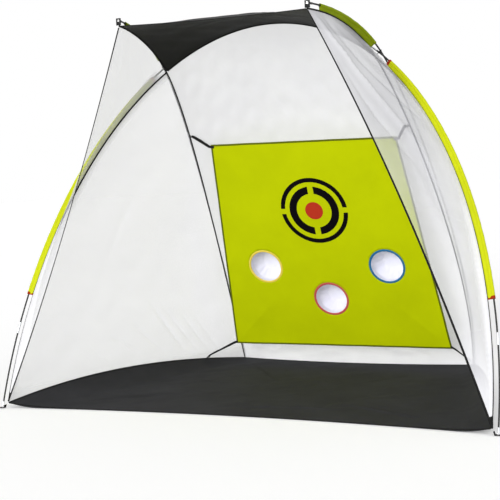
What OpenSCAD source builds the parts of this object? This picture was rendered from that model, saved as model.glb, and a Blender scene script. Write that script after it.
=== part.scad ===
// Golf chipping net: one leaning hoop pole and two bowed side poles carry a net shell,
// a black roof and floor, and a hanging target sheet with three ball pockets.
// Millimetres. X is across the mouth, Y runs into the net, Z is up.

/* [Hoop pole] */
// Distance between the two front feet
mouth_w = 3000; // [2400:50:3300]
// Length of the hoop from the ground to its top, measured in its own plane
hoop_rise = 2370; // [2000:10:2600]
// Backward lean of the hoop's plane, in degrees from upright
hoop_lean = 19.8; // [16:0.1:24]
// Number of tube sections in the hoop
hoop_count = 13; // [9:2:17]

/* [Side poles] */
// Distance between the two front tips
tip_spread = 1126; // [900:10:1300]
// Height of the roof's front corners
tip_z = 2177; // [1900:10:2400]
// Distance between the two rear ground corners
rear_spread = 1650; // [1300:10:1900]
// Depth of the floor from the front feet to the rear corners
depth = 1926; // [1600:10:2200]
// Half distance between the points where the side poles cross the hoop
cross_x = 690; // [600:5:780]
// Number of tube sections in each side pole
side_count = 7; // [5:1:9]

/* [Pole tube] */
// Outer diameter of the pole tube
pole_d = 9.5; // [7:0.1:12]
// Bore of the pole tube, for the shock cord
pole_bore = 5; // [4:0.1:6]
// Diameter of the shock cord
cord_d = 2.6; // [1.5:0.1:3]
// Length of a metal ferrule
ferrule_len = 65; // [40:1:80]
// Wall of a metal ferrule
ferrule_wall = 0.9; // [0.6:0.1:1.2]
// Radial clearance of a ferrule round the tube
ferrule_gap = 0.35; // [0.2:0.05:0.5]

/* [Cloth] */
// Thickness of the net and of the roof cloth
net_t = 1.6; // [1.2:0.1:2.5]
// Thickness of the floor sheet
floor_t = 2; // [1.2:0.1:3]
// Diameter of the binding tape on the seams
tape_d = 7.2; // [5:0.1:9]
// Distance from the hoop's centre line to its seam
seam_inset = 31; // [25:1:40]
// Backward bulge of the back net
back_bulge = 70; // [0:5:120]
// How far the middle of the floor's front edge stands back
mouth_bow = 100; // [0:5:150]
// Inner diameter of a pole sleeve
sleeve_bore = 15.4; // [14:0.1:18]
// Wall of a pole sleeve
sleeve_t = 1.2; // [0.8:0.1:2]

/* [Target] */
// Width of the target at the top
target_top_w = 1246; // [1000:2:1300]
// Width of the target at the bottom
target_low_w = 1528; // [1200:2:1600]
// Slant height of the target
target_h = 1458; // [1200:2:1500]
// Lean of the target, in degrees from upright
target_lean = 21.4; // [15:0.1:25]
// Height of the target's top edge
target_top_z = 1509; // [1400:1:1560]
// Depth of the target's top edge behind the front feet
target_top_y = 1152; // [1100:1:1200]
// Width of the hem round the target
hem_w = 12; // [8:1:20]
// Thickness of the target cloth
target_t = 1.6; // [1:0.1:3]
// Outer diameter of a pocket rim
rim_d = 240; // [180:2:280]
// Width of a pocket rim
rim_w = 12; // [8:1:20]
// Distance of the outer pockets from the middle
pocket_x = 420; // [300:5:450]
// Distance of the outer pockets below the top edge
pocket_high = 870; // [700:5:950]
// Distance of the middle pocket below the top edge
pocket_low = 1106; // [1000:5:1200]
// Depth of a pocket net
pocket_depth = 110; // [80:5:130]

/* [Corners] */
// Width of the webbing tabs
tab_w = 30; // [24:1:40]
// Thickness of the webbing tabs
tab_t = 2; // [1.5:0.1:3]
// Distance from the pole tip's grommet to the stake eyelet
stake_reach = 22; // [20:1:40]
// Bore of a stake eyelet
stake_bore = 10; // [8:0.5:12]
// Bore of a pole tip's grommet
peg_bore = 7.2; // [6:0.1:8]
// Diameter of a pole tip's peg
peg_d = 4; // [3:0.1:5]
// Width of the target's straps
strap_w = 18; // [12:1:25]
// Thickness of the target's straps
strap_t = 2.2; // [1.6:0.1:3]

/* [Hidden] */

// Steps along each edge, shared by the panels, tapes and sleeves that meet there
hoop_steps = 16;
roof_steps = 12;
tip_steps = 8;
edge_steps = 12;
floor_steps = 16;
table_steps = 120;

air = 0.4;
tape_r = tape_d / 2;
pole_r = pole_d / 2;
// A sleeve ends this far from the seam it is sewn to
seam_stop = tape_r + 0.9;
// A panel ends this far from its seams, and this far from an acute corner
panel_stop = tape_r + 0.9;
corner_stop = 60;

// ---- curves -------------------------------------------------------------

function unit(v) = v / norm(v);
function mix(a, b, t) = a + (b - a) * t;
function mirrored(side, p) = [side * p[0], p[1], p[2]];
function bezier(p, t) =
    p[0] * pow(1 - t, 3) + 3 * p[1] * t * pow(1 - t, 2) + 3 * p[2] * t * t * (1 - t) + p[3] * t * t * t;

// The hoop is a half ellipse in its leaning plane: a runs from 0 at the right foot to 180
hoop_up = [0, sin(hoop_lean), cos(hoop_lean)];
hoop_back = [0, cos(hoop_lean), -sin(hoop_lean)];
function hoop_in(a) =
    let (n = [-cos(a) / (mouth_w / 2), -sin(a) / hoop_rise], u = n / norm(n))
    [u[0], 0, 0] + u[1] * hoop_up;
function hoop(a, inset = 0) =
    [mouth_w / 2 * cos(a), 0, 0] + hoop_rise * sin(a) * hoop_up + inset * hoop_in(a);

// Angles on the hoop of the net corner and of the crossing with the side pole
net_corner_z = 30;
corner_a = asin(net_corner_z / (hoop_rise * cos(hoop_lean)));
cross_a = acos(cross_x / (mouth_w / 2));

net_corner = hoop(corner_a, seam_inset);
cross_seam = hoop(cross_a, seam_inset);
tip_corner = [tip_spread / 2, 0, tip_z];
rear_corner = [rear_spread / 2, depth, 10];

// The rear seam rises from the ground corner through the crossing to the roof's front corner
cross_dir = unit([-0.13, -1, 0.72]);
rear_rise = [65, -145, 637];
low_run = 472;
high_run = 241;
tip_run = [58, 240, -5];
low_seam = [rear_corner, rear_corner + rear_rise, cross_seam - low_run * cross_dir, cross_seam];
high_seam = [cross_seam, cross_seam + high_run * cross_dir, tip_corner + tip_run, tip_corner];

// The side pole runs outside the seam and passes over the hoop pole with clearance
hoop_dir = unit([-mouth_w / 2 * sin(cross_a), 0, 0] + hoop_rise * cos(cross_a) * hoop_up);
cross_out = unit(cross(hoop_dir, cross_dir));
cross_gap = 1.6;
pole_cross = hoop(cross_a) + (pole_d + cross_gap) * cross_out;
to_pole = pole_cross - cross_seam;
foot_off = [5, 20, 12];
tip_off = [3, 8, 30];
low_pole = [rear_corner + foot_off, low_seam[1] + foot_off, low_seam[2] + to_pole, pole_cross];
high_pole = [pole_cross, high_seam[1] + to_pole, high_seam[2] + tip_off, tip_corner + tip_off];

// One parameter for both halves: 0 at the rear corner, 1 at the crossing, 2 at the front tip
function seam_at(t) = t <= 1 ? bezier(low_seam, t) : bezier(high_seam, t - 1);
function side_pole(t) = t <= 1 ? bezier(low_pole, t) : bezier(high_pole, t - 1);

front_hem = [net_corner,
    mix(net_corner, tip_corner, 1 / 3) + [15, 110, 0],
    mix(net_corner, tip_corner, 2 / 3) + [35, 120, 0], tip_corner];
side_edge = [net_corner,
    mix(net_corner, rear_corner, 1 / 3) + [46, 0, 107],
    mix(net_corner, rear_corner, 2 / 3) + [50, 0, 93], rear_corner];

// Length tables turn a distance along a pole into a place on its curve
function run_up(pts, i = 1, sum = 0) =
    i == len(pts) ? [sum] : concat([sum], run_up(pts, i + 1, sum + norm(pts[i] - pts[i - 1])));
hoop_runs = run_up([for (i = [0:table_steps]) hoop(180 * i / table_steps)]);
side_runs = run_up([for (i = [0:table_steps]) side_pole(2 * i / table_steps)]);
hoop_table = [for (i = [0:table_steps]) [hoop_runs[i], 180 * i / table_steps]];
side_table = [for (i = [0:table_steps]) [side_runs[i], 2 * i / table_steps]];

// The tube starts above the ground tip and ends below the front tip
foot_rise = 18;
tip_back = 16;
joint_gap = 0.5;
hoop_start = foot_rise;
hoop_pitch = (hoop_runs[table_steps] - 2 * foot_rise) / hoop_count;
side_start = foot_rise - 12;
side_pitch = (side_runs[table_steps] - side_start - tip_back) / side_count;

// Each tube section bends to the circle through its ends and middle: [centre, x, y, radius, sweep]
function arc(a, m, b) =
    let (p = m - a, q = b - a, n = cross(p, q),
         o = a + cross((p * p) * q - (q * q) * p, n) / (2 * (n * n)),
         x = unit(a - o), z = unit(cross(a - o, m - o)))
    [o, x, cross(z, x), norm(a - o), acos(unit(b - o) * x)];
function arc_point(c, f) = c[0] + c[3] * (cos(f * c[4]) * c[1] + sin(f * c[4]) * c[2]);
function hoop_curve(run) = hoop(lookup(run, hoop_table));
function side_curve(run) = side_pole(lookup(run, side_table));
function section(s, e, curve) = arc(curve(s), curve((s + e) / 2), curve(e));
function cut(start, pitch, k) = start + k * pitch;
hoop_arcs = [for (k = [0:hoop_count - 1])
    section(cut(hoop_start, hoop_pitch, k) + joint_gap / 2, cut(hoop_start, hoop_pitch, k + 1) - joint_gap / 2,
        function (run) hoop_curve(run))];
side_arcs = [for (k = [0:side_count - 1])
    section(cut(side_start, side_pitch, k) + joint_gap / 2, cut(side_start, side_pitch, k + 1) - joint_gap / 2,
        function (run) side_curve(run))];
// Point on the bent tubes at a distance along the pole
function on_arcs(arcs, start, pitch, run) =
    let (k = max(0, min(len(arcs) - 1, floor((run - start) / pitch))),
         f = (run - cut(start, pitch, k) - joint_gap / 2) / (pitch - joint_gap))
    arc_point(arcs[k], f);
function hoop_point(run) = on_arcs(hoop_arcs, hoop_start, hoop_pitch, run);
function side_point(run) = on_arcs(side_arcs, side_start, side_pitch, run);

// ---- solids from points -------------------------------------------------

function quad(a, b, c, d) = [[a, b, c], [a, c, d]];
function flat(lists) = [for (l = lists) for (e = l) e];

// Skin over rings of equal count; the rings run clockwise seen from the first end
module skin(rings, closed = false) {
    n = len(rings[0]);
    m = len(rings);
    last = closed ? m - 1 : m - 2;
    sides = flat([for (j = [0:last]) for (i = [0:n - 1])
        quad(j * n + i, j * n + (i + 1) % n, ((j + 1) % m) * n + (i + 1) % n, ((j + 1) % m) * n + i)]);
    caps = closed ? [] : flat([for (i = [1:n - 2]) [[0, i + 1, i], [(m - 1) * n, (m - 1) * n + i, (m - 1) * n + i + 1]]]);
    polyhedron(flat(rings), concat(sides, caps), convexity = 8);
}

// Skin with a bore: outer and inner rings of equal count
module bored_skin(outer, inner) {
    n = len(outer[0]);
    m = len(outer);
    k = n * m;
    e = (m - 1) * n;
    faces = flat([for (i = [0:n - 1]) let (h = (i + 1) % n) concat(
        flat([for (j = [0:m - 2]) let (a = j * n, b = a + n)
            concat(quad(a + i, a + h, b + h, b + i), quad(k + a + h, k + a + i, k + b + i, k + b + h))]),
        quad(h, i, k + i, k + h),
        quad(e + i, e + h, k + e + h, k + e + i))]);
    polyhedron(concat(flat(outer), flat(inner)), faces, convexity = 8);
}

function tangent(pts, i) = unit(pts[min(i + 1, len(pts) - 1)] - pts[max(i - 1, 0)]);
function ring_at(p, u, v, shape) = [for (s = shape) p + s[0] * u + s[1] * v];
function round_shape(r, n) = [for (i = [0:n - 1]) r * [cos(360 * i / n), -sin(360 * i / n)]];

// A round cord or tape along points, with sides laid out from a steady side direction
module cord(pts, r, n, up = [0, 0, 1]) {
    skin([for (i = [0:len(pts) - 1])
        let (t = tangent(pts, i), u = unit(cross(up, t)), v = cross(t, u))
        ring_at(pts[i], u, v, round_shape(r, n))]);
}

// A flat strap along points, w wide along the side given for each point and t thick
module strap(pts, sides, w, t) {
    box = [[-w / 2, -t / 2], [-w / 2, t / 2], [w / 2, t / 2], [w / 2, -t / 2]];
    skin([for (i = [0:len(pts) - 1])
        let (d = tangent(pts, i), v = unit(cross(d, sides[i])), u = cross(v, d))
        ring_at(pts[i], u, v, box)]);
}

// Cloth of even thickness over a grid of points; both faces split their cells along one diagonal
module cloth(grid, t) {
    rows = len(grid);
    cols = len(grid[0]);
    function normal(j, i) =
        let (a = grid[j][min(i + 1, cols - 1)] - grid[j][max(i - 1, 0)],
             b = grid[min(j + 1, rows - 1)][i] - grid[max(j - 1, 0)][i])
        unit(cross(a, b));
    top = [for (j = [0:rows - 1]) for (i = [0:cols - 1]) grid[j][i] + normal(j, i) * t / 2];
    under = [for (j = [0:rows - 1]) for (i = [0:cols - 1]) grid[j][i] - normal(j, i) * t / 2];
    k = rows * cols;
    skins = flat([for (j = [0:rows - 2]) for (i = [0:cols - 2])
        let (a = j * cols + i, b = a + 1, c = b + cols, d = a + cols)
        concat(quad(d, c, b, a), quad(k + b, k + c, k + d, k + a))]);
    border = concat(
        [for (i = [0:cols - 2]) i],
        [for (j = [0:rows - 2]) j * cols + cols - 1],
        [for (i = [cols - 1:-1:1]) (rows - 1) * cols + i],
        [for (j = [rows - 1:-1:1]) j * cols]);
    rim = flat([for (i = [0:len(border) - 1])
        let (a = border[i], b = border[(i + 1) % len(border)]) quad(a, b, k + b, k + a)]);
    polyhedron(concat(top, under), concat(skins, rim), convexity = 8);
}

// Point of a patch hung between four edge lists: low and high run along i, left and right along j
function patch(low, high, left, right, u, v, a, b, c, d) =
    (1 - v) * low + v * high + (1 - u) * left + u * right
    - (1 - u) * (1 - v) * a - u * (1 - v) * b - (1 - u) * v * c - u * v * d;

// Grid of a panel between four edge functions, set back from its seams
function panel(low, high, left, right, cols, rows, stop_low, stop_high, bulge = [0, 0, 0]) =
    let (a = low(0), b = low(1), c = high(0), d = high(1), s = 0.01,
         start = min(norm(left(s) - left(0)), norm(right(s) - right(0))) / s,
         finish = min(norm(left(1) - left(1 - s)), norm(right(1) - right(1 - s))) / s)
    [for (j = [0:rows])
        let (v = j == 0 ? stop_low / start : j == rows ? 1 - stop_high / finish : j / rows,
             l = left(v), r = right(v), wide = max(norm(r - l), 4 * panel_stop), e = panel_stop / wide)
        [for (i = [0:cols])
            let (u = i == 0 ? e : i == cols ? 1 - e : i / cols)
            patch(low(u), high(u), l, r, u, v, a, b, c, d) + bulge * 16 * u * (1 - u) * v * (1 - v)]];

// ---- poles --------------------------------------------------------------

// A tube along an arc
module bent_tube(c, outer, inner) {
    o = c[0];
    x = c[1];
    y = c[2];
    z = cross(x, y);
    multmatrix([[x[0], y[0], z[0], o[0]], [x[1], y[1], z[1], o[1]], [x[2], y[2], z[2], o[2]], [0, 0, 0, 1]])
        rotate_extrude(angle = c[4], $fn = 360)
            translate([c[3], 0]) difference() {
                circle(r = outer, $fn = 32);
                circle(r = inner, $fn = 32);
            }
}

module hoop_sections(from, to) {
    color("#1e1e1e") for (k = [from:to - 1]) bent_tube(hoop_arcs[k], pole_r, pole_bore / 2);
}

module side_sections() {
    color("#1e1e1e") for (c = side_arcs) bent_tube(c, pole_r, pole_bore / 2);
}

module ferrule(a, m, b) {
    color("#b9bcc0") bent_tube(arc(a, m, b), pole_r + ferrule_gap + ferrule_wall, pole_r + ferrule_gap);
}

module hoop_ferrules() {
    for (k = [1:hoop_count - 1])
        let (run = cut(hoop_start, hoop_pitch, k))
        ferrule(hoop_point(run - ferrule_len / 2), hoop_point(run), hoop_point(run + ferrule_len / 2));
}

module side_ferrules() {
    for (k = [1:side_count - 1])
        let (run = cut(side_start, side_pitch, k))
        ferrule(side_point(run - ferrule_len / 2), side_point(run), side_point(run + ferrule_len / 2));
}

// The shock cords end short of the plugs in the pole tips
cord_stop = 24;
hoop_cord_rings = 80;
side_cord_rings = 44;
module hoop_shock_cord() {
    span = hoop_runs[table_steps] - 2 * (hoop_start + cord_stop);
    color("#e6e6e6") cord([for (i = [0:hoop_cord_rings])
        hoop_point(hoop_start + cord_stop + span * i / hoop_cord_rings)], cord_d / 2, 6, [0, 1, 0]);
}

module side_shock_cord() {
    span = side_runs[table_steps] - side_start - tip_back - 2 * cord_stop;
    color("#e6e6e6") cord([for (i = [0:side_cord_rings])
        side_point(side_start + cord_stop + span * i / side_cord_rings)], cord_d / 2, 6, [1, 0, 0]);
}

// A metal cap on the end of a tube, with a plug in its bore and a peg ahead of it
cap_wall = 1;
cap_len = 20;
plug_gap = 0.3;
module pole_tip(end, dir, peg_len) {
    z = unit(dir);
    x = unit(cross([0.3, 0.9, 0.1], z));
    y = cross(z, x);
    multmatrix([[x[0], y[0], z[0], end[0]], [x[1], y[1], z[1], end[1]], [x[2], y[2], z[2], end[2]], [0, 0, 0, 1]]) {
        difference() {
            translate([0, 0, -cap_len]) cylinder(r = pole_r + ferrule_gap + cap_wall, h = cap_len + 4, $fn = 32);
            translate([0, 0, -cap_len - 1]) cylinder(r = pole_r + ferrule_gap, h = cap_len + 1 + air, $fn = 32);
        }
        translate([0, 0, -cap_len]) cylinder(r = pole_bore / 2 - plug_gap, h = cap_len + 1, $fn = 24);
        translate([0, 0, 3]) cylinder(r = peg_d / 2, h = peg_len, $fn = 24);
    }
}

module hoop_foot_tips() {
    e = hoop_point(hoop_start + joint_gap / 2);
    d = e - hoop_point(hoop_start + 20);
    color("#b9bcc0") for (s = [-1, 1]) pole_tip(mirrored(s, e), mirrored(s, d), 11.5);
}

module side_foot_tips() {
    e = side_point(side_start + joint_gap / 2);
    d = e - side_point(side_start + 20);
    color("#b9bcc0") for (s = [-1, 1]) pole_tip(mirrored(s, e), mirrored(s, d), 11.5);
}

module side_front_tips() {
    run = side_runs[table_steps] - tip_back - joint_gap / 2;
    e = side_point(run);
    d = e - side_point(run - 20);
    color("#1c1c1c") for (s = [-1, 1]) pole_tip(mirrored(s, e), mirrored(s, d), 17);
}

// ---- cloth panels -------------------------------------------------------

function hoop_seam(v) = hoop(mix(corner_a, cross_a, v), seam_inset);
function roof_arch(u) = hoop(mix(180 - cross_a, cross_a, u), seam_inset);
function hem_at(v) = bezier(front_hem, v);
function edge_at(v) = bezier(side_edge, v);
function rear_edge(u) = [mix(-1, 1, u) * rear_corner[0], depth - 46 * 4 * u * (1 - u), rear_corner[2] - 7 * 4 * u * (1 - u)];
function canopy_front(u) = [mix(-1, 1, u) * tip_corner[0], 12 * 4 * u * (1 - u), tip_z - 8 * 4 * u * (1 - u)];
function mouth_edge(u) =
    let (x = mix(-1, 1, u))
    [x * net_corner[0], net_corner[1] + mouth_bow * (1 - x * x), 3 + (net_corner_z - 3) * pow(abs(x), 8)];

module canopy() {
    low = function (u) canopy_front(u);
    high = function (u) roof_arch(u);
    left = function (v) mirrored(-1, seam_at(2 - v));
    right = function (v) seam_at(2 - v);
    color("#282828") cloth(panel(low, high, left, right, roof_steps, tip_steps, panel_stop, panel_stop, [0, 0, -14]), net_t);
}

module back_net() {
    low = function (u) rear_edge(u);
    high = function (u) roof_arch(u);
    left = function (v) mirrored(-1, seam_at(v));
    right = function (v) seam_at(v);
    color("#eeeeee") cloth(panel(low, high, left, right, roof_steps, hoop_steps, panel_stop, panel_stop,
        [0, back_bulge, back_bulge / 3]), net_t);
}

module front_net() {
    low = function (u) net_corner;
    high = function (u) seam_at(2 - u);
    left = function (v) hem_at(v);
    right = function (v) hoop_seam(v);
    color("#eeeeee") cloth(panel(low, high, left, right, tip_steps, hoop_steps, 3 * corner_stop, panel_stop, [6, 0, 0]), net_t);
}

module side_net() {
    low = function (u) edge_at(u);
    high = function (u) cross_seam;
    left = function (v) hoop_seam(v);
    right = function (v) seam_at(v);
    color("#eeeeee") cloth(panel(low, high, left, right, edge_steps, hoop_steps, panel_stop, corner_stop, [10, 8, 0]), net_t);
}

// The floor lies flat and turns up to its lifted side edges
turn_up = 0.14;
floor_tape_r = 0.9 * tape_r;
floor_stop = floor_tape_r + 0.7;
module floor_sheet() {
    grid = [for (j = [0:edge_steps])
        let (v = j == 0 ? floor_stop / depth : j == edge_steps ? 1 - floor_stop / depth : j / edge_steps,
             e = edge_at(v), stop = floor_stop / e[0])
        [for (i = [0:floor_steps])
            let (x = i == 0 ? -1 + stop : i == floor_steps ? 1 - stop : cos(180 - 180 * i / floor_steps),
                 lift = pow(max(0, (abs(x) - 1 + turn_up) / turn_up), 2),
                 front = mouth_edge((x + 1) / 2)[1] - net_corner[1],
                 back = rear_edge((x + 1) / 2)[1] - depth)
            [x * e[0], e[1] + (1 - v) * front + v * back, floor_t / 2 + lift * (e[2] - floor_t / 2)]]];
    color("#3a3a3a") cloth(grid, floor_t);
}

// ---- tapes and sleeves --------------------------------------------------

function steps(from, to, n) = [for (i = [0:n]) mix(from, to, i / n)];

// Tapes stop short of the corners where they meet others, by these shares of their length
tape_stop = 0.012;
hem_stop_low = 0.022;
hem_stop_high = 0.006;
canopy_hem_stop = 0.009;
edge_stop = 0.006;
// The front and rear edging keep this share of the floor's half width
front_reach_share = 0.994;
rear_reach_share = 0.99;

module hoop_seam_tape() {
    color("#232323") cord([for (v = steps(0, 1, hoop_steps)) hoop_seam(v == 0 ? tape_stop : v == 1 ? 1 - tape_stop : v)],
        tape_r, 6, [0, 1, 0]);
}

module roof_seam() {
    color("#232323") cord([for (u = steps(0, 1, roof_steps)) roof_arch(u == 0 ? tape_stop : u == 1 ? 1 - tape_stop : u)],
        tape_r, 6, [0, 1, 0]);
}

module rear_seam_tape() {
    color("#232323") cord(concat(
        [for (v = steps(0, 1, hoop_steps)) seam_at(v)],
        [for (i = [1:tip_steps]) seam_at(1 + i / tip_steps)]), tape_r, 6, [1, 0, 0]);
}

module front_hem_tape() {
    color("#232323") cord([for (v = steps(0, 1, hoop_steps)) hem_at(v == 0 ? hem_stop_low : v == 1 ? 1 - hem_stop_high : v)],
        tape_r, 6, [0, 1, 0]);
}

module canopy_hem() {
    color("#232323") cord([for (u = steps(0, 1, roof_steps)) canopy_front(u == 0 ? canopy_hem_stop : u == 1 ? 1 - canopy_hem_stop : u)],
        tape_r, 6, [0, 0, 1]);
}

module floor_edging() {
    color("#232323") {
        for (s = [-1, 1])
            cord([for (v = steps(0, 1, edge_steps)) mirrored(s, edge_at(v == 0 ? edge_stop : v == 1 ? 1 - edge_stop : v))],
                floor_tape_r, 6, [0, 0, 1]);
        cord([for (i = [0:floor_steps]) let (x = cos(180 - 180 * i / floor_steps) * (i % floor_steps == 0 ? front_reach_share : 1))
            let (p = mouth_edge((x + 1) / 2)) [p[0], p[1], max(p[2], floor_tape_r)]], floor_tape_r, 6, [0, 0, 1]);
        cord([for (i = [0:floor_steps]) let (x = cos(180 - 180 * i / floor_steps) * (i % floor_steps == 0 ? rear_reach_share : 1))
            let (p = rear_edge((x + 1) / 2)) [p[0], p[1], max(p[2], floor_tape_r)]], floor_tape_r, 6, [0, 0, 1]);
    }
}

// A sleeve holds the pole in a round bore and tapers to the seam it is sewn to
bore_r = sleeve_bore / 2;
sleeve_sides = 9;
tail_t = 3;
function sleeve_angle(i) = 20 + 40 * i;
function sleeve_outer(tail) = [for (i = [0:sleeve_sides - 1])
    i == 0 ? [tail, -tail_t / 2] : i == sleeve_sides - 1 ? [tail, tail_t / 2]
    : (bore_r + sleeve_t) * [cos(sleeve_angle(i)), -sin(sleeve_angle(i))]];
sleeve_inner = [for (i = [0:sleeve_sides - 1]) bore_r * [cos(sleeve_angle(i)), -sin(sleeve_angle(i))]];

module hoop_sleeve(from, to, n, shade) {
    tail = seam_inset - seam_stop;
    runs = steps(from, to, n);
    function rings(shape) = [for (r = runs)
        ring_at(hoop_point(r), hoop_in(lookup(r, hoop_table)), -hoop_back, shape)];
    color(shade) bored_skin(rings(sleeve_outer(tail)), rings(sleeve_inner));
}

// Distances along the poles where the sleeves start and stop
low_bare = 700;
cross_bare = 100;
hoop_length = hoop_runs[table_steps];
cross_run = hoop_runs[round(table_steps * cross_a / 180)];
module right_hoop_sleeve() {
    hoop_sleeve(low_bare, cross_run - cross_bare, 14, "#ccd60a");
}

module top_sleeve() {
    hoop_sleeve(cross_run + cross_bare, hoop_length - cross_run - cross_bare, 14, "#3a3a3a");
}

side_cross_run = side_runs[table_steps / 2];
side_bare = 75;
tip_bare = 60;
module side_sleeve() {
    runs = steps(side_cross_run + side_bare, side_runs[table_steps] - tip_bare, 9);
    dirs = [for (r = runs) unit(side_point(r + 1) - side_point(r - 1))];
    ins = [for (i = [0:len(runs) - 1])
        let (d = seam_at(lookup(runs[i], side_table)) - side_point(runs[i])) d - (d * dirs[i]) * dirs[i]];
    function rings(shapes) = [for (i = [0:len(runs) - 1])
        ring_at(side_point(runs[i]), unit(ins[i]), cross(dirs[i], unit(ins[i])), shapes[i])];
    color("#859600") bored_skin(
        rings([for (d = ins) sleeve_outer(norm(d) - seam_stop)]), rings([for (d = ins) sleeve_inner]));
}

// ---- corners ------------------------------------------------------------

flange_t = 0.8;
flange_w = 3.2;
grommet_h = tab_t + 2 * flange_t;
hoop_foot = hoop(0);
side_foot = side_pole(0);

// A pressed eyelet: two flanges and a barrel round its bore
module eyelet(bore) {
    for (z = [0, grommet_h - flange_t]) translate([0, 0, z]) difference() {
        cylinder(d = bore + 2 * flange_w, h = flange_t, $fn = 48);
        translate([0, 0, -1]) cylinder(d = bore, h = flange_t + 2, $fn = 48);
    }
    translate([0, 0, flange_t]) difference() {
        cylinder(d = bore + 1, h = tab_t, $fn = 48);
        translate([0, 0, -1]) cylinder(d = bore, h = tab_t + 2, $fn = 48);
    }
}

// A webbing tab on the ground, along +X from the pole tip's grommet, with a riser to the net corner
tab_inner = 16;
module ground_tab(riser_lean, riser_h, inner) {
    translate([0, 0, flange_t]) linear_extrude(height = tab_t) difference() {
        union() {
            translate([-inner, -tab_w / 2]) square([inner + stake_reach, tab_w]);
            translate([stake_reach, 0]) circle(d = tab_w, $fn = 48);
        }
        circle(d = peg_bore + 1 + 0.4, $fn = 48);
        translate([stake_reach, 0]) circle(d = stake_bore + 1 + 0.4, $fn = 48);
    }
    translate([-inner, 0, flange_t]) rotate([0, -riser_lean, 0])
        translate([0, -tab_w / 2 + 3, 0]) cube([tab_t, tab_w - 6, riser_h]);
}

module at_front_foot(side) {
    translate([side * hoop_foot[0], hoop_foot[1], 0]) mirror([side < 0 ? 1 : 0, 0, 0]) children();
}
module at_rear_foot(side) {
    translate([side * side_foot[0], side_foot[1], 0]) rotate([0, 0, 90]) children();
}

module front_corner_tabs() {
    color("#202020") for (s = [-1, 1]) at_front_foot(s) ground_tab(20, 20, tab_inner);
}

module rear_corner_tabs() {
    color("#202020") for (s = [-1, 1]) at_rear_foot(s) ground_tab(0, rear_corner[2] - 0.7 - flange_t, foot_off[1] - 1);
}

tip_tab_h = 43;
tip_grommet_z = 30;
module front_tip_tabs() {
    color("#202020") for (s = [-1, 1])
        translate([s * (tip_corner[0] + tip_off[0]), tab_t / 2, tip_z]) rotate([90, 0, 0])
            linear_extrude(height = tab_t) difference() {
                translate([-tab_w / 2, tape_r + air]) square([tab_w, tip_tab_h - tape_r - air]);
                translate([0, tip_grommet_z]) circle(d = peg_bore + 1 + 0.4, $fn = 48);
            }
}

module pole_tip_grommets() {
    color("#c4c7ca") for (s = [-1, 1]) {
        at_front_foot(s) eyelet(peg_bore);
        at_rear_foot(s) eyelet(peg_bore);
        translate([s * (tip_corner[0] + tip_off[0]), grommet_h / 2, tip_z + tip_grommet_z]) rotate([90, 0, 0]) eyelet(peg_bore);
    }
}

module stake_eyelets() {
    color("#c4c7ca") for (s = [-1, 1]) {
        at_front_foot(s) translate([stake_reach, 0, 0]) eyelet(stake_bore);
        at_rear_foot(s) translate([stake_reach, 0, 0]) eyelet(stake_bore);
    }
}

// An elastic loop round both poles where they cross, with a tail to the seam
tie_r = 1.5;
tie_rings = 20;
tie_mid = (hoop(cross_a) + pole_cross) / 2;
tie_side = unit(hoop_dir - cross_dir);
tie_gap = 0.9;
tie_half_h = (pole_d + cross_gap) / 2 + pole_r + tie_gap + tie_r;
tie_half_w = pole_r * 1.5 + tie_gap + tie_r;
function squarish(c) = sign(c) * pow(abs(c), 0.62);
module crossing_ties() {
    normal = cross(tie_side, cross_out);
    loop = [for (i = [0:tie_rings - 1]) let (a = 360 * i / tie_rings)
        tie_mid + tie_half_w * squarish(cos(a)) * tie_side + tie_half_h * squarish(sin(a)) * cross_out];
    rings = [for (i = [0:tie_rings - 1])
        let (d = unit(loop[(i + 1) % tie_rings] - loop[(i + tie_rings - 1) % tie_rings]), u = cross(normal, d))
        ring_at(loop[i], u, normal, round_shape(tie_r, 6))];
    tail = [tie_mid - (tie_half_h + tie_r + air) * cross_out,
        cross_seam + (tape_r + air) * unit(to_pole)];
    color("#4a4a4a") for (s = [-1, 1]) mirror([s < 0 ? 1 : 0, 0, 0]) {
        skin(rings, true);
        strap(tail, [tie_side, tie_side], 8, 1.6);
    }
}

// ---- target -------------------------------------------------------------

module on_target() {
    translate([0, target_top_y, target_top_z]) rotate([90 + target_lean, 0, 0]) children();
}
function on_target_point(x, down, out = 0) =
    [x, target_top_y + down * sin(target_lean) - out * cos(target_lean),
     target_top_z - down * cos(target_lean) - out * sin(target_lean)];

function half_width(down) = mix(target_top_w, target_low_w, down / target_h) / 2;
// Outline of the sheet inside a border, from the top edge down
module sheet_outline(border) {
    a = half_width(border) - border;
    b = half_width(target_h - border) - border;
    polygon([[-a, -border], [-b, -target_h + border], [b, -target_h + border], [a, -border]]);
}

module pocket_places() {
    translate([-pocket_x, -pocket_high]) children();
    translate([0, -pocket_low]) children();
    translate([pocket_x, -pocket_high]) children();
}

module target_sheet() {
    color("#b6c400") on_target() translate([0, 0, -target_t / 2]) linear_extrude(height = target_t) difference() {
        sheet_outline(hem_w);
        pocket_places() circle(d = rim_d, $fn = 96);
    }
}

module target_hem() {
    color("#6e760a") on_target() translate([0, 0, -target_t]) linear_extrude(height = 2 * target_t) difference() {
        sheet_outline(0);
        sheet_outline(hem_w);
    }
}

rim_t = 4;
module pocket_rim(x, down, shade) {
    color(shade) on_target() translate([x, -down, -rim_t / 2]) linear_extrude(height = rim_t) difference() {
        circle(d = rim_d - 2 * air, $fn = 96);
        circle(d = rim_d - 2 * rim_w, $fn = 96);
    }
}

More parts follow.
